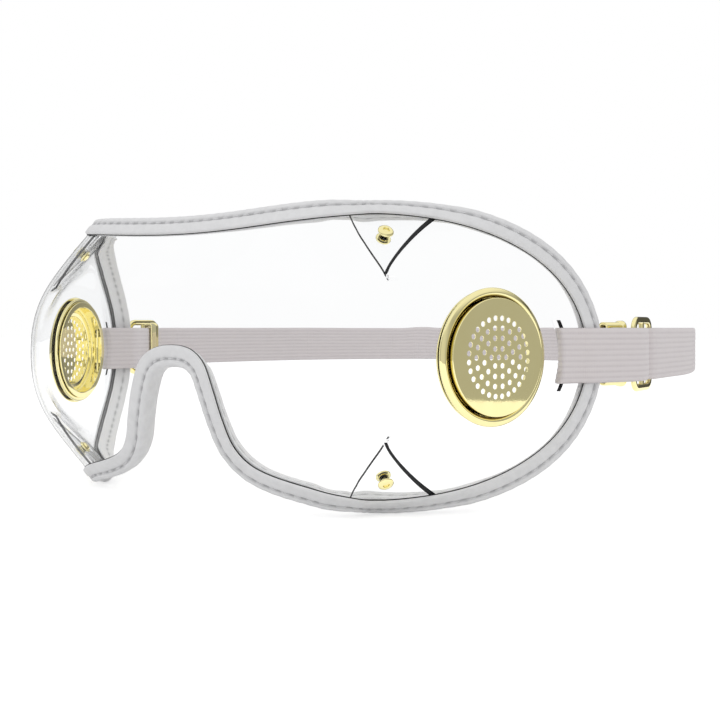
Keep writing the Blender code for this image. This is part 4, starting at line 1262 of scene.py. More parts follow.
    def slot_frame(self, side: Side) -> tuple[Array, Array, Array]:
        """Slot's place, its rearward direction and its outward direction."""
        run = self.form.vent_run + self.slot_setback
        place = self.form.points(np.array([run]), np.array([0.0]))[0]
        heading = float(np.interp(run, self.form.runs, self.form.headings))
        rearward = np.array([math.cos(heading), math.sin(heading), 0.0])
        outward = np.array([math.sin(heading), -math.cos(heading), 0.0])
        return place * side.flip, rearward * side.flip, outward * side.flip

    def slot_bow(self, height: Array) -> Array:
        """How far the slot's line lies forward of its middle: the sagitta of its bow."""
        return self.slot_bow_radius - np.sqrt(self.slot_bow_radius ** 2 - height ** 2)

    def slot_cutter(self, side: Side, finishes: Finishes) -> Piece:
        """Cutter of a strap slot: two bowed lines a width apart, carried through the sheet.

        Its rear wall leans back and is the dark cut edge. Its front wall is rubbed clear.
        """
        place, rearward, outward = self.slot_frame(side)
        count = self.slot_points
        line = np.linspace(-self.slot_half_height, self.slot_half_height, count)
        height = np.concatenate([line, line[::-1]])
        back = np.repeat([self.slot_width / 2, -self.slot_width / 2], count) - self.slot_bow(height)
        flat = place + rearward * back[:, None] + UP * height[:, None]
        lean = rearward * np.repeat([self.slot_lean, 0.0], count)[:, None]
        through = (outward + lean) * self.slot_cut_depth
        points = np.stack([flat - through, flat + through])
        faces = grid_quads(2, 2 * count, False, True).tolist()
        faces += [list(range(2 * count)), list(range(2 * count, 4 * count))]
        edges = [finishes.cut_edge, finishes.clear_edge]
        cutter = mesh_object("slot_cutter_" + side.letter, points, faces, edges)
        centres = np.array([face.center[:] for face in cutter.data.polygons]) - place
        middle = -self.slot_bow(np.clip(centres[:, 2], line[0], line[-1]))
        cutter.data.polygons.foreach_set(
            "material_index", (centres @ rearward < middle).astype(np.int32))
        return cutter

    def rivet_axis(self, side: Side, level: Level) -> Axis:
        """Axis of a dart's rivet, outwards from the outer flap's middle."""
        run = np.array([self.rivet_run * side.value])
        height = np.array([self.rivet_height * level.value])
        return Axis(self.form.points(run, height)[0], self.form.normals(run, height)[0])

    def cutters(self, finishes: Finishes) -> list[Piece]:
        """Cutters of the vents' holes, the strap slots and the rivet holes."""
        tools = []
        edge = finishes.cut_edge
        middle = np.zeros((1, 2))
        for side in Side:
            vent = self.form.vent_axis_of(side)
            name = "vent_cutter_" + side.letter
            tools.append(vent.pegs(
                name, middle, self.vent_bore, PUNCH_DEPTH, self.vent_cutter_sides, edge))
            tools.append(self.slot_cutter(side, finishes))
            for level in Level:
                axis = self.rivet_axis(side, level)
                name = f"rivet_cutter_{level.name}_{side.letter}"
                tools.append(axis.pegs(
                    name, middle, self.rivet_bore, PUNCH_DEPTH, self.rivet_cutter_sides, edge))
        return tools

    def clear_slits(self, mesh: bpy.types.Mesh) -> None:
        """Leave the short slits below the darts' apexes clear. The dark edges start above them."""
        centres = np.empty(3 * len(mesh.polygons))
        slots = np.empty(len(mesh.polygons), dtype=np.int32)
        mesh.polygons.foreach_get("center", centres)
        mesh.polygons.foreach_get("material_index", slots)
        _, y, z = centres.reshape(-1, 3).T
        rise = self.dart_apex_height - np.abs(z)
        slit = (rise > 0.0) & (rise < 2 * self.dart_slit) & (y < 0) & (slots == 1)
        mesh.polygons.foreach_set("material_index", np.where(slit, 2, slots).astype(np.int32))

    def build(self, finishes: Finishes) -> None:
        """Join the three panels along the uncut middle of the darts and give them thickness."""
        front, side = self.front_panel(), self.side_panel()
        columns, rows = front.shape[:2]
        joined = np.abs(self.shares) <= self.root + SHARE_TOLERANCE
        points, quads = [front.reshape(-1, 3)], [grid_quads(columns, rows, False, False)]
        start = columns * rows
        for hand in Side:
            points.append((side * hand.flip).reshape(-1, 3))
            numbers = start + np.arange(side.shape[0] * rows).reshape(-1, rows)
            edge = (columns - 1) * rows if hand is Side.RIGHT else 0
            numbers[0] = np.where(joined, edge + np.arange(rows), numbers[0])
            faces = numbers.ravel()[grid_quads(side.shape[0], rows, False, False)]
            quads.append(faces if hand is Side.RIGHT else faces[:, ::-1])
            start += side.shape[0] * rows
        column, row = np.divmod(np.arange(len(quads[0])), rows - 1)
        nearer = np.minimum(np.abs(self.shares[:-1]), np.abs(self.shares[1:]))
        # Painted shade: the outermost front columns past the dart's start take the nearly black
        # edge material, as a dark stripe beside the outer flap's edge.
        outermost = (column == 0) | (column == columns - 2)
        dark = outermost & (nearer[row] > self.start - SHARE_TOLERANCE)
        quads = np.concatenate(quads)
        dark = np.concatenate([dark, np.zeros(len(quads) - len(dark), dtype=bool)])
        used, numbers = np.unique(quads, return_inverse=True)
        points = np.concatenate(points)[used]
        mesh = bpy.data.meshes.new("lens_sheet")
        mesh.from_pydata(points.tolist(), [], numbers.reshape(-1, 4).tolist())
        for material in (finishes.sheet, finishes.cut_edge, finishes.clear_edge):
            mesh.materials.append(material)
        mesh.polygons.foreach_set("material_index", dark.astype(np.int32))
        lens = placed("lens_sheet", mesh)
        solid = lens.modifiers.new("sheet", "SOLIDIFY")
        solid.thickness = self.form.thickness
        solid.offset = 0.0
        solid.material_offset_rim = 1
        cut_away(lens, self.cutters(finishes))
        self.clear_slits(lens.data)
        settle(shaded(lens, 35.0), "goggles", Slot.SHEET, "lens")


# Edge binding and pad


@dataclass
class EdgeBinding:
    """A stitched vinyl tape that lies on the sheet's front and rolls round the pad."""

    form: SheetForm
    stations: EdgeStations
    stitch_dip: float = 0.4 * MM
    stitch_length: float = 2.5 * MM
    stitch_radius: float = 0.25 * MM
    stitch_dive: float = 0.4 * MM
    stitch_lift: float = 0.12 * MM
    stitch_rows: int = 9
    stitch_sides: int = 8
    pucker: float = 0.17 * MM
    hollow_width: float = 0.75 * MM
    groove_width: float = 0.42 * MM
    crest_width: float = 0.9 * MM
    flank_setback: float = 1.3 * MM
    flank_width: float = 0.7 * MM
    beat_stitches: float = 2.3

    def __post_init__(self) -> None:
        """Fit a whole number of stitches round the ring."""
        self.seat = self.form.seat
        self.face = self.seat + TAPE_WALL
        self.stitches = int(round(self.stations.total / STITCH_PITCH))
        self.pitch = self.stations.total / self.stitches

    def section(self) -> Array:
        """Section of the tape as a smooth ring: reach out from the sight line, lift in front."""
        seat, face, reach, depth = self.seat, self.face, ROLL_REACH, ROLL_DEPTH
        inner = reach - TAPE_WALL
        line = STITCH_LINE
        return closed_curve([
            (0.06 * MM, seat), (0.0, seat + TAPE_WALL / 2), (0.3 * MM, face),
            (line / 2, face + 0.12 * MM), (line - 0.7 * MM, face - 0.02 * MM),
            (line, face - self.stitch_dip), (line + 0.7 * MM, face - 0.03 * MM),
            (reach - 0.9 * MM, face - 0.28 * MM), (reach - 0.2 * MM, seat - 0.3 * MM),
            (reach, -depth / 3), (reach - 0.25 * MM, -depth * 0.65),
            (inner, TAPE_WALL - depth), (inner - TAPE_WALL * 0.9, 1.5 * TAPE_WALL - depth),
            (inner - 0.1 * MM, -depth * 0.55), (inner, -depth / 3), (line + 1.0 * MM, -0.05 * MM),
            (line, seat - 0.08 * MM), (line / 2, seat),
        ], 3)

    def build(self, finishes: Finishes) -> None:
        """Sweep the tape, with puckers between its stitches, and add its thread and a dark line of
        painted shade.

        The puckers are a cosine of the distance along the seam, strongest at the stitch line.
        Finer creases, twice as close and uneven, cross the flank inside that line.
        """
        section = self.section()
        reach, lift = section[None, :, 0], section[None, :, 1]
        front = smooth_share(lift / self.seat)
        turns = 2 * np.pi * self.stations.length[:, None] / self.pitch
        wave = np.cos(turns)

        def ridge(middle: float, width: float) -> Array:
            """1 at a reach on the tape's front, falling off over a width."""
            return np.exp(-((reach - middle) / width) ** 2) * front

        hollow = ridge(STITCH_LINE, self.hollow_width)
        crest = ridge(ROLL_REACH - self.crest_width, self.crest_width)
        lifted = lift - self.pucker * hollow * (1 + wave) - self.pucker * crest * wave * 0.35
        pushed = reach - self.pucker * 0.15 * wave * smooth_share((reach - 5.4 * MM) / (0.8 * MM))
        # Painted shade mark along the stitch line, darkest between the stitches where the thread
        # dives.
        groove = ridge(STITCH_LINE, self.groove_width)
        groove = groove * (0.2 + 0.6 * smooth_share((wave + 0.35) / 0.6))
        beat = np.sin(turns / self.beat_stitches)
        crease = np.cos(2 * turns + 2.0 * beat)
        flank = ridge(STITCH_LINE - self.flank_setback, self.flank_width)
        lifted = lifted - self.pucker * 0.3 * flank * crease * (1 + beat) / 2
        shape = np.stack([pushed, lifted], axis=-1)
        marks = {"groove": groove}
        tape = grid_piece(
            "edge_binding_tape", self.stations.swept(shape), finishes.vinyl, True, marks, 60.0)
        settle(tape, "goggles", Slot.VINYL, "edge_binding")
        settle(self.build_thread(finishes), "goggles", Slot.VINYL)
        # Painted shade: a dark line in the gap under the tape's inner edge.
        settle(self.build_shade_line(finishes), "goggles", Slot.SHEET)

    def build_thread(self, finishes: Finishes) -> Piece:
        """All stitches as one mesh: each a short tube that dives into the tape at both ends.

        Its radius is the root of one less its share squared, and its ends drop by a power of
        that share.
        """
        rows, sides = self.stitch_rows, self.stitch_sides
        share = np.linspace(-1.0, 1.0, rows)
        middles = (np.arange(self.stitches)[:, None] + 0.5) * self.pitch
        place, outward, ahead = self.stations.at(middles + share * self.stitch_length / 2)
        lift = self.face - self.stitch_dip + self.stitch_lift - self.stitch_dive * share ** 4
        centre = place + outward * STITCH_LINE + ahead * lift[:, None]
        radius = self.stitch_radius * np.sqrt(np.maximum(1 - share ** 2, 0.0))[:, None, None]
        turn = even_turn(sides)[:, None]
        spokes = outward[..., None, :] * np.cos(turn) + ahead[..., None, :] * np.sin(turn)
        points = centre[..., None, :] + spokes * radius
        starts = np.arange(self.stitches)[:, None, None] * rows * sides
        quads = grid_quads(rows, sides, False, True)[None] + starts
        thread = mesh_object(
            "binding_stitches", points, quads.reshape(-1, 4).tolist(), [finishes.thread])
        return shaded(thread, 80.0)

    def build_shade_line(self, finishes: Finishes) -> Piece:
        """Thin dark line of painted shade that fills the gap under the tape's inner edge."""
        half_gap = (CLEARANCE - 0.06 * MM) / 2
        section = oval(0.28 * MM, half_gap, 0.6, 10)
        section = section + (0.03 * MM, self.form.thickness / 2 + CLEARANCE / 2)
        points = self.stations.swept(section[None] + np.zeros((len(self.stations.length), 1, 1)))
        return grid_piece("binding_shade_line", points, finishes.cut_edge, True, None, 60.0)


@dataclass
class FacePad:
    """Cloth-faced foam roll behind the sheet's edge, inside the binding's roll."""

    form: SheetForm
    stations: EdgeStations
    reach: float = 4.85 * MM
    lip: float = 1.2 * MM
    relief_run: float = 50.0 * MM
    relief_end: float = 98.0 * MM
    relief_fade: float = 9.0 * MM
    draw_back: float = 3.0 * MM
    swell: float = 0.07 * MM
    swell_pitch: float = 11 * MM
    seam_corner: float = 24.0
    seam_width: float = 0.8

    @property
    def full_relief(self) -> float:
        """Room that a hidden flap takes behind the sheet, with its gaps."""
        return self.form.thickness + FLAP_GAP + CLEARANCE

    def relief(self) -> Array:
        """Room behind the sheet for the hidden flaps, eased in and out along the run."""
        run = self.stations.run
        rise = smooth_share((run - self.relief_run + self.relief_fade) / self.relief_fade)
        fall = smooth_share((run - self.relief_end) / self.relief_fade)
        return self.full_relief * rise * (1 - fall)

    def section(self, relief: float) -> Array:
        """Section of the roll as a smooth ring, for one depth of relief."""
        front = -(self.form.seat + relief)
        back = -ROLL_DEPTH
        crown = self.reach - 2 * TAPE_WALL
        return closed_curve([
            (TAPE_WALL, front), (STITCH_LINE, front),
            (self.reach - TAPE_WALL / 4, (2 * front + back / 3) / 3 - CLEARANCE),
            (self.reach, back / 2), (crown + TAPE_WALL / 2, back + TAPE_WALL / 4), (crown, back),
            ((crown + self.lip) / 2 + TAPE_WALL / 4, (back + front - self.lip) / 2 + TAPE_WALL / 4),
            (self.lip, front - self.lip), (TAPE_WALL / 2, front - self.lip / 2),
        ], 4)

    def build(self, finishes: Finishes) -> None:
        """Sweep the roll: its section is a mix of the plain and the relieved one.

        The relieved part is drawn back under the binding, so that it stays hidden at the darts.
        A seam of painted shade runs round its inner slope, in dashes darkest where a thread would
        dive.
        """
        share = (self.relief() / self.full_relief)[:, None, None]
        plain, relieved = self.section(0.0)[None], self.section(self.full_relief)[None]
        section = plain * (1 - share) + relieved * share
        reach = section[..., :1]
        section = section + share * self.draw_back * (1 - reach / self.reach) * (1.0, 0.0)
        turns = self.stations.length * 2 * np.pi / self.swell_pitch
        swell = self.swell * np.sin(turns)[:, None, None]
        middle = section.mean(axis=1, keepdims=True)
        section = section + unit(section - middle) * np.minimum(swell, 0.0)
        pitch = self.stations.total / round(self.stations.total / STITCH_PITCH)
        wave = np.cos(2 * np.pi * self.stations.length / pitch)[:, None]
        # Painted shade mark: dashes along one corner of the section, as of a stitched seam.
        corner = np.arange(section.shape[1])[None]
        near = np.exp(-((corner - self.seam_corner) / self.seam_width) ** 2)
        groove = near * (0.25 + 0.45 * smooth_share((wave + 0.4) / 0.7))
        points = self.stations.swept(section)
        pad = grid_piece("face_pad_roll", points, finishes.foam, True, {"groove": groove}, 70.0)
        settle(pad, "goggles", Slot.FOAM, "face_pad")


# Brass


@dataclass
class Vent:
    """One brass vent: an outer flange, a perforated cup and the ring that its lip clinches."""

    form: SheetForm
    side: Side
    flange_height: float = 1.3 * MM
    flange_crest: float = 17.6 * MM
    flange_dip: float = 0.7 * MM
    cup_radius: float = 16.15 * MM
    cup_rise: float = 1.1 * MM
    wall: float = 0.8 * MM
    dish_radius: float = 12.3 * MM
    dish_step: float = 1.2 * MM
    lip_radius: float = 17.3 * MM
    lip_height: float = 0.5 * MM
    ring_radius: float = 18.5 * MM
    ring_height: float = 0.9 * MM
    plate_wall: float = 0.3 * MM
    hole_radius: float = 0.77 * MM
    hole_pitch: float = 2.66 * MM
    ring_holes: tuple = (1, 6, 12, 18, 28)
    hole_sides: int = 18
    sides: int = 128

    @property
    def groove_top(self) -> float:
        """Height below which the groove round the cup gets painted shade."""
        return self.form.seat + self.flange_height + self.cup_rise * 0.3

    def hole_centres(self) -> Array:
        """A middle hole and rings of holes round it, each starting half a step from the top."""
        places = []
        for ring, count in enumerate(self.ring_holes):
            turn = 2 * np.pi * (np.arange(count) + 0.5) / count
            places.append(ring * self.hole_pitch * np.stack([np.sin(turn), np.cos(turn)], axis=-1))
        return np.concatenate(places)

    def turned_piece(self, name: str, corners: Array, reach: Any, brass: Material) -> Piece:
        """Turn an outline with eased corners about the vent's axis.

        Its recess mark, which sets painted shade, is 1 in the groove between the flange and the
        cup.

        Args:
            name: Piece name, without its side.
            corners: Radius and height of the outline's corners.
            reach: How far each corner is eased.
            brass: Its finish.

        Returns:
            The object.
        """
        outline = eased_corners(corners, np.asarray(reach), 6)
        off = np.abs(outline[:, 0] - self.cup_radius - CLEARANCE / 2)
        within = 1 - smooth_share((off - CLEARANCE * 0.6) / (0.1 * MM))
        recess = within * smooth_share((self.groove_top - outline[:, 1]) / (0.5 * MM))
        recess = recess * (outline[:, 1] > 0.0)
        return shaded(self.form.vent_axis_of(self.side).turned(
            f"{name}_{self.side.letter}", outline, self.sides, brass, recess), 30.0)

    def build(self, finishes: Finishes) -> None:
        """Turn the three pieces and punch the cup's perforations."""
        brass, letter = finishes.brass, self.side.letter
        seat = self.form.seat
        bore = self.cup_radius + CLEARANCE
        crown = seat + self.flange_height
        outer = self.form.vent_radius
        flange = self.turned_piece("vent_flange_turned", [
            (bore, seat), (outer, seat), (outer, seat + 0.4 * MM),
            (outer - 0.35 * MM, seat + self.flange_height * 0.62), (self.flange_crest, crown),
            ((bore + self.flange_crest) / 2, crown - self.flange_dip / 4),
            (bore, crown - self.flange_dip),
        ], np.array([0.1, 0.15, 0.3, 0.4, 0.5, 0.3, 0.12]) * MM, brass)
        settle(flange, "goggles", Slot.BRASS, "vent_flange_" + letter)
        face = crown + self.cup_rise
        ring_back = -seat - self.ring_height
        lip_front = ring_back - CLEARANCE
        lip_back = lip_front - self.lip_height
        skirt = self.cup_radius - self.wall
        plate_back = face - self.plate_wall
        shelf = face - self.wall - self.dish_step
        dish = self.dish_radius - 0.2 * MM
        cup = self.turned_piece("vent_cup_turned", [
            (0.0, face), (self.cup_radius, face), (self.cup_radius, self.groove_top + 0.05 * MM),
            (self.cup_radius, self.groove_top - 0.5 * MM),
            (self.cup_radius, lip_front), (self.lip_radius, lip_front),
            (self.lip_radius, lip_back), (skirt, lip_back), (skirt, shelf + 0.6 * MM),
            ((skirt + self.dish_radius) / 2, shelf), (dish, shelf + 0.35 * MM),
            (dish, plate_back), (0.0, plate_back),
        ], np.array([0, 3.5, 0.4, 0.4, 1, 2, 2.2, 2, 5, 6, 3, 1, 0]) * 0.1 * MM, brass)
        axis = self.form.vent_axis_of(self.side)
        punch = Axis(axis.place + axis.ahead * face, axis.ahead)
        holes = self.hole_centres()
        cut_away(cup, [punch.pegs(
            "perforations_" + letter, holes, self.hole_radius, PUNCH_DEPTH, self.hole_sides,
            brass)])
        settle(levelled(shaded(cup, 30.0)), "goggles", Slot.BRASS, "vent_cup_" + letter)
        ring = self.turned_piece("vent_ring_turned", [
            (bore, -seat), (self.ring_radius, -seat),
            (self.ring_radius, -seat - self.ring_height / 2),
            (self.ring_radius - self.ring_height / 2, ring_back), (bore, ring_back),
        ], 0.25 * MM, brass)
        settle(ring, "goggles", Slot.BRASS, "vent_ring_" + letter)


@dataclass
class DartRivet:
    """A dart's tubular brass rivet and the burr that its flared tail holds."""

    lens: LensSheet
    side: Side
    level: Level
    head_radius: float = 2.2 * MM
    head_height: float = 0.9 * MM
    bore_radius: float = 0.8 * MM
    bore_depth: float = 0.6 * MM
    shank_radius: float = 1.0 * MM
    flare_radius: float = 1.6 * MM
    flare_height: float = 0.5 * MM
    burr_radius: float = 2.1 * MM
    burr_thickness: float = 0.5 * MM
    sides: int = 40

    def build(self, finishes: Finishes) -> None:
        """Turn the rivet, whose rolled head dips into its bore, and the burr."""
        seat = self.lens.form.seat
        crown = seat + self.head_height
        front = -seat - self.lens.form.thickness - FLAP_GAP
        back = front - self.burr_thickness
        flare_front = back - CLEARANCE
        flare_back = flare_front - self.flare_height
        axis = self.lens.rivet_axis(self.side, self.level)
        ending = f"{self.level.name.lower()}_{self.side.letter}"
        outline = eased_corners([
            (0.0, crown - self.bore_depth), (self.bore_radius, crown - self.bore_depth),
            (self.bore_radius + 0.1 * MM, crown), (self.head_radius - 0.5 * MM, crown - 0.12 * MM),
            (self.head_radius, seat + 0.35 * MM), (self.head_radius, seat),
            (self.shank_radius, seat), (self.shank_radius, flare_front),
            (self.flare_radius, flare_front), (self.shank_radius, flare_back), (0.0, flare_back),
        ], np.array([0, 0.1, 0.3, 0.4, 0.25, 0.08, 0.05, 0.1, 0.15, 0.2, 0]) * MM, 5)
        rivet = axis.turned("tubular_rivet_" + ending, outline, self.sides, finishes.brass)
        settle(shaded(rivet, 35.0), "goggles", Slot.BRASS, "dart_rivet_" + ending)
        bore = self.shank_radius + CLEARANCE
        washer = eased_corners([
            (bore, front), (self.burr_radius, front), (self.burr_radius, back), (bore, back),
        ], np.full(4, 0.15 * MM), 4)
        burr = axis.turned("rivet_washer_" + ending, washer, self.sides, finishes.brass)
        settle(shaded(burr, 35.0), "goggles", Slot.BRASS, "dart_burr_" + ending)


@dataclass
class SliderForm:
    """Sizes of the three-bar slider, shared with the strap that threads it."""

    place_x: float = 106.2 * MM
    place_y: float = 56.3 * MM
    length: float = 17.3 * MM
    height: float = 22.7 * MM
    thickness: float = 1.6 * MM
    corner: float = 4.0 * MM
    rail: float = 2.3 * MM
    bar: float = 1.9 * MM
    oval_sides: int = 20
    bar_rows: int = 9

    @property
    def window(self) -> float:
        """Length of each of the two windows."""
        return (self.length - 3 * self.bar) / 2

    @property
    def rear_bar(self) -> float:
        """Place of the middle of the rear bar, along the strap."""
        return self.place_y + self.length / 2 - self.bar / 2

    def build(self, side: Side, finishes: Finishes) -> None:
        """Carry an oval round the frame's rounded rectangle and run a straight bar across it."""
        outline = rounded_frame(
            self.length - self.rail, self.height - self.rail, self.corner - self.rail / 2, 10)
        section = oval(self.rail / 2, self.thickness / 2, 0.75, self.oval_sides)
        place = np.array([self.place_x, self.place_y, 0.0])
        points = frame_sweep(outline, section, place, np.eye(3)[[1, 2, 0]]) * side.flip
        body = "slider_" + side.letter
        frame = grid_piece(
            "slider_frame_" + side.letter, points, finishes.brass, True, None, 60.0)
        settle(frame, body, Slot.BRASS, body)
        reach = self.height / 2 - self.rail * 0.6
        height = np.linspace(-reach, reach, self.bar_rows)[:, None, None]
        bar = oval(self.thickness / 2 * 0.95, self.bar / 2, 0.8, self.oval_sides) @ np.eye(2, 3)
        points = bar[None] + UP * height + place
        cross = grid_piece(
            "slider_bar_" + side.letter, points * side.flip, finishes.brass, False, None, 60.0)
        settle(cross, body, Slot.BRASS)


@dataclass
class KeeperForm:
    """Sizes of the flat brass sleeve that keeps the strap's inner leg."""

    place_x: float = 98.3 * MM
    place_y: float = 52.8 * MM
    heading: float = math.radians(62.0)
    length: float = 8.0 * MM
    height: float = 19.5 * MM
    thickness: float = 3.9 * MM
    wall: float = 0.8 * MM
    bead: float = 0.45 * MM
    travel: float = 2.3 * MM

    def build(self, side: Side, finishes: Finishes) -> None:
        """Carry the sleeve's wall, with its rolled rear edge, round a flat rounded rectangle."""
        half_wall = self.wall / 2
        corner = self.thickness / 3 - half_wall / 2
        outline = rounded_frame(
            self.thickness - self.wall, self.height - self.wall, corner, 8)
        half = self.length / 2
        wall = closed_curve(eased_corners([
            (-half_wall, -half), (half_wall, -half), (half_wall, half - 4.2 * self.bead),
            (half_wall + self.bead, half - 3.2 * self.bead),
            (half_wall + self.bead, half - 0.8 * self.bead), (half_wall * 0.6, half),
            (-half_wall, half),
        ], np.full(7, 0.3 * MM), 4), 1)
        back = np.array([math.cos(self.heading), math.sin(self.heading), 0.0])
        across = np.array([-math.sin(self.heading), math.cos(self.heading), 0.0])
        place = np.array([self.place_x, self.place_y, 0.0])
        points = frame_sweep(outline, wall, place, (across, UP, back)) * side.flip
        body = "keeper_" + side.letter
        sleeve = grid_piece(
            "keeper_sleeve_" + side.letter, points, finishes.brass, True, None, 50.0)
        settle(sleeve, body, Slot.BRASS, body)


# Elastic


@dataclass
class ElasticBand:
    """Ribbed elastic: a loop through the lens on each side and the band round the head."""

    lens: LensSheet
    slider: SliderForm
    keeper: KeeperForm
    width: float = 16.0 * MM
    thickness: float = 1.3 * MM
    ribs: int = 10
    rib_depth: float = 0.08 * MM
    bow_fade: float = 6.0 * MM
    half_width: float = 105.0 * MM
    rear: float = 216.0 * MM
    rear_shares: tuple = (
        (1.0, 0.555), (0.93, 0.68), (0.8, 0.795), (0.6, 0.893), (0.32, 0.97), (0.0, 1.0))
    tail: float = 7.0 * MM
    step: float = 1.2 * MM
    fold_bulge: float = 2.5 * MM
    section_points: int = 71
    fold_points: int = 9

    @property
    def outer(self) -> float:
        """Distance from the middle to the strap that lies on the slider's outer face."""
        slider = self.slider
        return slider.place_x + slider.thickness / 2 + CLEARANCE + self.thickness / 2

    def section(self) -> tuple[Array, Array, Array]:
        """Ribbed section: height across the strap, lift off its middle, and painted shade in the
        valleys.

        The lift is half the thickness, rounded off at both edges, less a squared cosine whose
        waves are the ribs.
        """
        height = np.linspace(-self.width / 2, self.width / 2, self.section_points)
        wave = np.cos(np.pi * self.ribs * (height / self.width + 0.5)) ** 2
        edge = np.sqrt(np.maximum(1 - (2 * np.abs(height) / self.width) ** 14, 0.0))
        lift = (self.thickness / 2 - self.rib_depth * wave) * edge
        # Painted shade mark: 1 deep in the valleys between the ribs.
        valley = np.clip(wave * 1.6 - 0.6, 0.0, 1.0)
        return (
            np.concatenate([height, height[-2:0:-1]]), np.concatenate([lift, -lift[-2:0:-1]]),
            np.concatenate([valley, valley[-2:0:-1]]))

    def ribbon(self, name: str, path: Array, bows: Array, side: Side,
               finishes: Finishes) -> Piece:
        """Carry the section along a plan path, each point moved square to it by its lift.

        Args:
            name: Piece name.
            path: Plan points of the right-hand side.
            bows: Directions in which the strap is bowed like the slot.
            side: Side that it is made for.
            finishes: The materials.

        Returns:
            The object.
        """
        height, lift, valley = self.section()
        tangent = unit(np.gradient(path, axis=0))
        square = np.stack([tangent[:, 1], -tangent[:, 0]], axis=-1)
        bow = self.lens.slot_bow(height)
        plan = path[:, None] + square[:, None] * lift[None, :, None]
        plan = plan + bows[:, None] * bow[None, :, None]
        points = np.concatenate(
            [plan, np.broadcast_to(height[None, :, None], (*plan.shape[:2], 1))], axis=-1)
        along = np.broadcast_to(path_lengths(path)[:, None], plan.shape[:2])
        marks = {"along": along, "valley": np.broadcast_to(valley[None], plan.shape[:2])}
        return grid_piece(name, points * side.flip, finishes.webbing, False, marks, 70.0)

    def band_half(self) -> Array:
        """Half of the head band in plan, a smooth curve from the rear bar to the rear's middle."""
        front = self.slider.rear_bar + CLEARANCE
        points = [(self.outer, front + self.slider.length * share) for share in (0.0, 1.0, 2.0)]
        points += [
            (self.half_width * across, self.rear * back) for across, back in self.rear_shares]
        whole = rounded_path(points + [(-x, y) for x, y in points[-2::-1]], 16)
        half = whole[:len(whole) // 2 + 1]
        return resampled(half, int(path_lengths(half)[-1] / (1.6 * self.step)))

    def loop(self) -> tuple[Array, Array, int]:
        """The loop in plan: from the slider, through the slot and back to the slider's window.

        Returns:
            The path, how strongly it is bowed like the slot at each point, and the number of
            the point in the slot.
        """
        place, rearward, outward = (vector[:2] for vector in self.lens.slot_frame(Side.RIGHT))
        slider, thick, gap = self.slider, self.thickness, CLEARANCE
        sheet = self.lens.form.thickness
        fold = sheet / 2 + gap + thick / 2
        centre = place + rearward * (self.lens.slot_width / 2 - gap)
        roll_top = sheet / 2 + TAPE_WALL + 2 * gap + thick
        pad_back = ROLL_DEPTH + 2 * gap + thick
        sight = self.lens.form.temple_run - self.lens.slot_setback
        roll_end = sight + ROLL_REACH
        wrap = slider.thickness / 2 + gap + thick / 2
        outer_leg = [
            (slider.place_x - wrap, slider.place_y - self.tail),
            (slider.place_x - wrap, slider.place_y - 0.3 * MM),
            (slider.place_x, slider.place_y + slider.bar / 2 + gap + thick / 2),
            (self.outer, slider.place_y - 0.3 * MM),
            (self.outer, slider.place_y - slider.length / 2),
            place + rearward * roll_end + outward * (roll_top + gap),
            place + rearward * sight + outward * roll_top,
            place + rearward * (sight / 2) + outward * (fold + gap),
        ]
        turn = np.linspace(math.pi / 2, -math.pi / 2, self.fold_points)[:, None]
        bulge = self.fold_bulge * np.maximum(np.sin(turn), 0.0) ** 2
        folded = centre - rearward * (fold * np.cos(turn) + bulge) + outward * fold * np.sin(turn)
        keeper = np.array([self.keeper.place_x, self.keeper.place_y])
        along = np.array([math.cos(self.keeper.heading), math.sin(self.keeper.heading)])
        window = slider.place_y + slider.bar / 2 + slider.window / 2
        inner_face = slider.place_x - slider.thickness / 2
        inner_leg = [
            place + rearward * (sight / 2) - outward * (pad_back / 2 + gap),
            place + rearward * sight - outward * pad_back,
            place + rearward * roll_end - outward * (pad_back + gap),
            keeper - along * self.keeper.length / 2, keeper,
            keeper + along * self.keeper.length / 2,
            keeper + along * (self.keeper.length / 2 + self.keeper.travel),
            (inner_face - thick, window - thick / 2), (slider.place_x, window + thick / 2),
            (self.outer - thick / 4, slider.rear_bar - 1.2 * thick),
            (self.outer, slider.rear_bar + gap),
        ]
        path = rounded_path(np.vstack([outer_leg, folded, inner_leg]), 12)
        path = resampled(path, int(path_lengths(path)[-1] / self.step))
        off = path - place
        gone = np.clip((np.abs(off @ outward) - fold) / self.bow_fade, 0.0, 1.0)
        behind = np.clip((off @ rearward) / self.bow_fade, 0.0, 1.0)
        straight = 1 - 0.6 * smooth_share((off @ outward) / fold)
        weight = (1 - smooth_share(gone)) * (1 - smooth_share(behind)) * straight
        slot_point = int(np.argmin(off @ rearward))
        return path, -rearward * weight[:, None], slot_point

    def build(self, finishes: Finishes) -> None:
        """Make each side's two legs and its half of the head band."""
        path, bows, middle = self.loop()
        half = self.band_half()
        for side in Side:
            letter = side.letter
            legs = (
                ("strap_outer_leg_", slice(None, middle + 2), (38.0 * MM, 50.0 * MM)),
                ("strap_inner_leg_", slice(middle - 1, None), (58.4 * MM, 60.6 * MM)),
            )
            for name, part, (start, end) in legs:
                leg = self.ribbon(name + letter, path[part], bows[part], side, finishes)
                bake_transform(leg)
                stand_in(leg, Slot.ELASTIC, "strap_loop_" + letter)
            flat = np.zeros_like(half)
            band = self.ribbon("head_band_half_" + letter, half, flat, side, finishes)
            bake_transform(band)
            stand_in(band, Slot.ELASTIC, "head_band")


# Studio


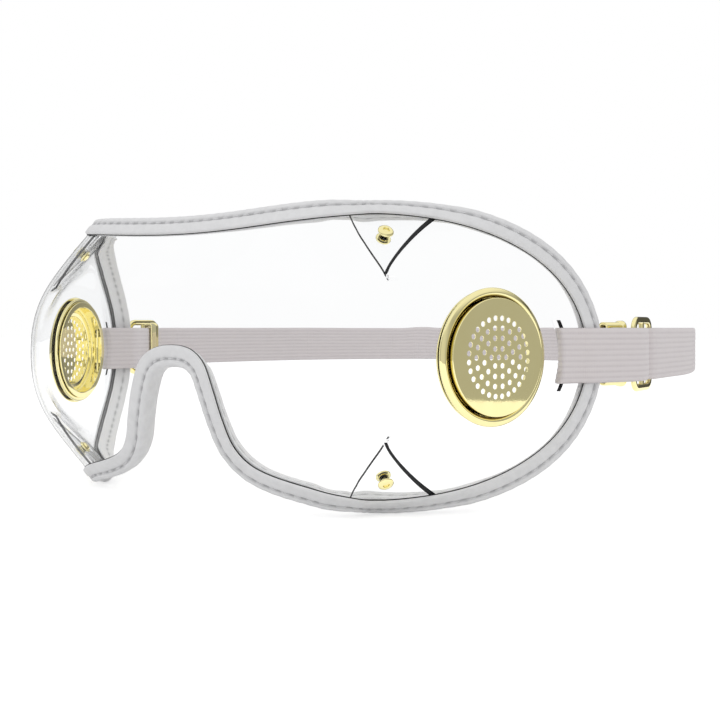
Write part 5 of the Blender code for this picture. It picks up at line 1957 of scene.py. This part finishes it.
@dataclass
class Studio:
    """White floor and background, soft lamps, a grey canopy for the brass, and the camera."""

    floor_height: float
    camera_place: Triple = (0.201, -0.2484, 0.008)
    camera_turn: Triple = (90.0, 0.0, 33.0)
    lens_length: float = 50.0
    shift: float = -0.0447
    sky_level: float = 0.78
    canopy_level: float = 0.47
    canopy_radius: float = 0.50
    floor_half: float = 4.0
    floor_glow: float = 0.45
    floor_colour: Triple = (0.86, 0.86, 0.86)
    floor_patch: Triple = (0.88, 0.88, 0.88)
    canopy_rows: int = 31
    canopy_sides: int = 120
    cap_gain: float = 0.5
    cap_start: float = 28.0
    cap_ease: float = 12.0
    side_lamp_gain: float = 0.25
    side_lamp_bearing: float = -50.0
    side_lamp_half: float = 30.0
    dark_panel_loss: float = 0.38
    dark_panel_bearing: float = 68.0
    dark_panel_half: float = 34.0
    dark_panel_top: float = 22.0
    dark_panel_ease: float = 10.0
    key_power: float = 1.5
    fill_power: float = 0.7

    def build(self) -> None:
        """Set the world, floor, canopy, lamps and camera."""
        self.world()
        self.floor()
        self.canopy()
        self.lamp("key_softbox", (-0.5, -0.9, 0.8), 0.8, self.key_power)
        self.lamp("fill_softbox", (1.1, -0.4, 0.35), 0.9, self.fill_power)
        data = bpy.data.cameras.new("camera")
        data.lens = self.lens_length
        data.shift_y = self.shift
        data.clip_start = 1 * MM
        camera = placed("camera", data)
        camera.location = self.camera_place
        camera.rotation_euler = [math.radians(angle) for angle in self.camera_turn]
        bpy.context.scene.camera = camera
        bpy.context.scene.view_settings.view_transform = "Standard"

    def world(self) -> None:
        """White to the camera and in reflections and glass, an even plain level as light."""
        world = bpy.data.worlds.new("studio")
        bpy.context.scene.world = world
        graph = ShaderGraph(world)
        graph.feed(graph.shader, {"Color": WHITE, "Strength": self.sky_level})
        white = graph.node("ShaderNodeBackground", {"Color": WHITE})
        graph.surface(graph.either(graph.seen(), graph.shader, white))

    def floor(self) -> None:
        """A wide pale floor that keeps a faint shadow and is white to the camera elsewhere."""
        material = bpy.data.materials.new("studio_floor")
        graph = ShaderGraph(material)
        soft = graph.noise(1.0)
        graph.feed(graph.shader, {
            "Base Color": graph.blend(soft, self.floor_colour, self.floor_patch),
            "Roughness": 0.9, "Specular IOR Level": 0.0,
        })
        strength = graph.math("MULTIPLY", graph.seen(), self.floor_glow)
        glow = graph.node("ShaderNodeEmission", {"Strength": strength})
        both = {0: graph.shader.outputs[0], 1: glow.outputs[0]}
        graph.surface(graph.node("ShaderNodeAddShader", both))
        half = self.floor_half
        corners = np.array([(-half, -half), (half, -half), (half, half), (-half, half)])
        points = np.hstack([corners, np.full((4, 1), self.floor_height)])
        mesh_object("studio_floor", points, [[0, 1, 2, 3]], [material])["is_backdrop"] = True

    def canopy(self) -> None:
        """A dome that only polished surfaces see: grey low down, bright above, dark behind.

        Its points are a sphere's, from the horizon to the pole. Its level adds a bright cap that
        starts at 28 degrees, a bright side lamp at 50 degrees to the right of the front, and a
        dark panel low down at the right of the back.
        """
        material = bpy.data.materials.new("studio_canopy")
        graph = ShaderGraph(material)
        graph.surface(graph.node("ShaderNodeEmission", {"Strength": graph.mark("level")}))
        rise = np.linspace(0.0, math.pi / 2, self.canopy_rows)[:, None]
        turn = even_turn(self.canopy_sides)[None, :]
        dome = self.canopy_radius * np.stack([
            np.cos(rise) * np.cos(turn), np.cos(rise) * np.sin(turn),
            np.sin(rise) + 0.0 * turn], axis=-1)
        points = dome + (0.0, 0.0, self.floor_height + 1 * MM)
        up, bearing = np.degrees(rise), np.degrees(turn)

        def panel(middle: float, half: float) -> Array:
            """1 at a bearing, easing to 0 half a width away."""
            off = np.abs((bearing - middle + 180.0) % 360.0 - 180.0)
            return 1 - smooth_share((off - half * 0.6) / (half * 0.4))

        cap = smooth_share((up - self.cap_start) / self.cap_ease)
        low = 1 - smooth_share((up - self.dark_panel_top) / self.dark_panel_ease)
        side_lamp = panel(self.side_lamp_bearing, self.side_lamp_half) * (1 - cap)
        dark_panel = panel(self.dark_panel_bearing, self.dark_panel_half) * low
        level = self.canopy_level + self.cap_gain * cap
        level = level + self.side_lamp_gain * side_lamp - self.dark_panel_loss * dark_panel
        quads = grid_quads(self.canopy_rows, self.canopy_sides, False, True).tolist()
        canopy = mesh_object("studio_canopy", points, quads, [material], {"level": level})
        for ray in ("camera", "diffuse", "transmission", "shadow"):
            setattr(canopy, "visible_" + ray, False)
        canopy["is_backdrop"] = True

    def lamp(self, name: str, place: Triple, size: float, power: float) -> None:
        """Add a soft square lamp that faces the goggles."""
        data = bpy.data.lights.new(name, "AREA")
        data.size = size
        data.energy = power
        lamp = placed(name, data)
        lamp.location = place
        lamp.rotation_euler = (-Vector(place)).to_track_quat("-Z", "Y").to_euler()


def plain_box(box: Any) -> list:
    """A box as plain lists of numbers."""
    return [[float(value) for value in corner] for corner in box]


def main() -> None:
    """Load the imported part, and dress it."""
    logging.basicConfig(level=logging.INFO, format="%(name)s %(message)s")
    for item in list(bpy.data.objects):
        bpy.data.objects.remove(item, do_unlink=True)
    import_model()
    packed = plain_box(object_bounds())
    finishes = Finishes()
    form = SheetForm()
    sight = SightLine(form)
    stations = EdgeStations.along(sight, EDGE_STATIONS, EDGE_SMOOTHING)
    lens = LensSheet(form, sight)
    lens.build(finishes)
    EdgeBinding(form, stations).build(finishes)
    FacePad(form, stations).build(finishes)
    slider, keeper = SliderForm(), KeeperForm()
    for side in Side:
        Vent(form, side).build(finishes)
        for level in Level:
            DartRivet(lens, side, level).build(finishes)
        slider.build(side, finishes)
        keeper.build(side, finishes)
    ElasticBand(lens, slider, keeper).build(finishes)
    Studio(packed[0][2] - 0.2 * MM).build()
    LOG.info("built")


if __name__ == "__main__":
    main()
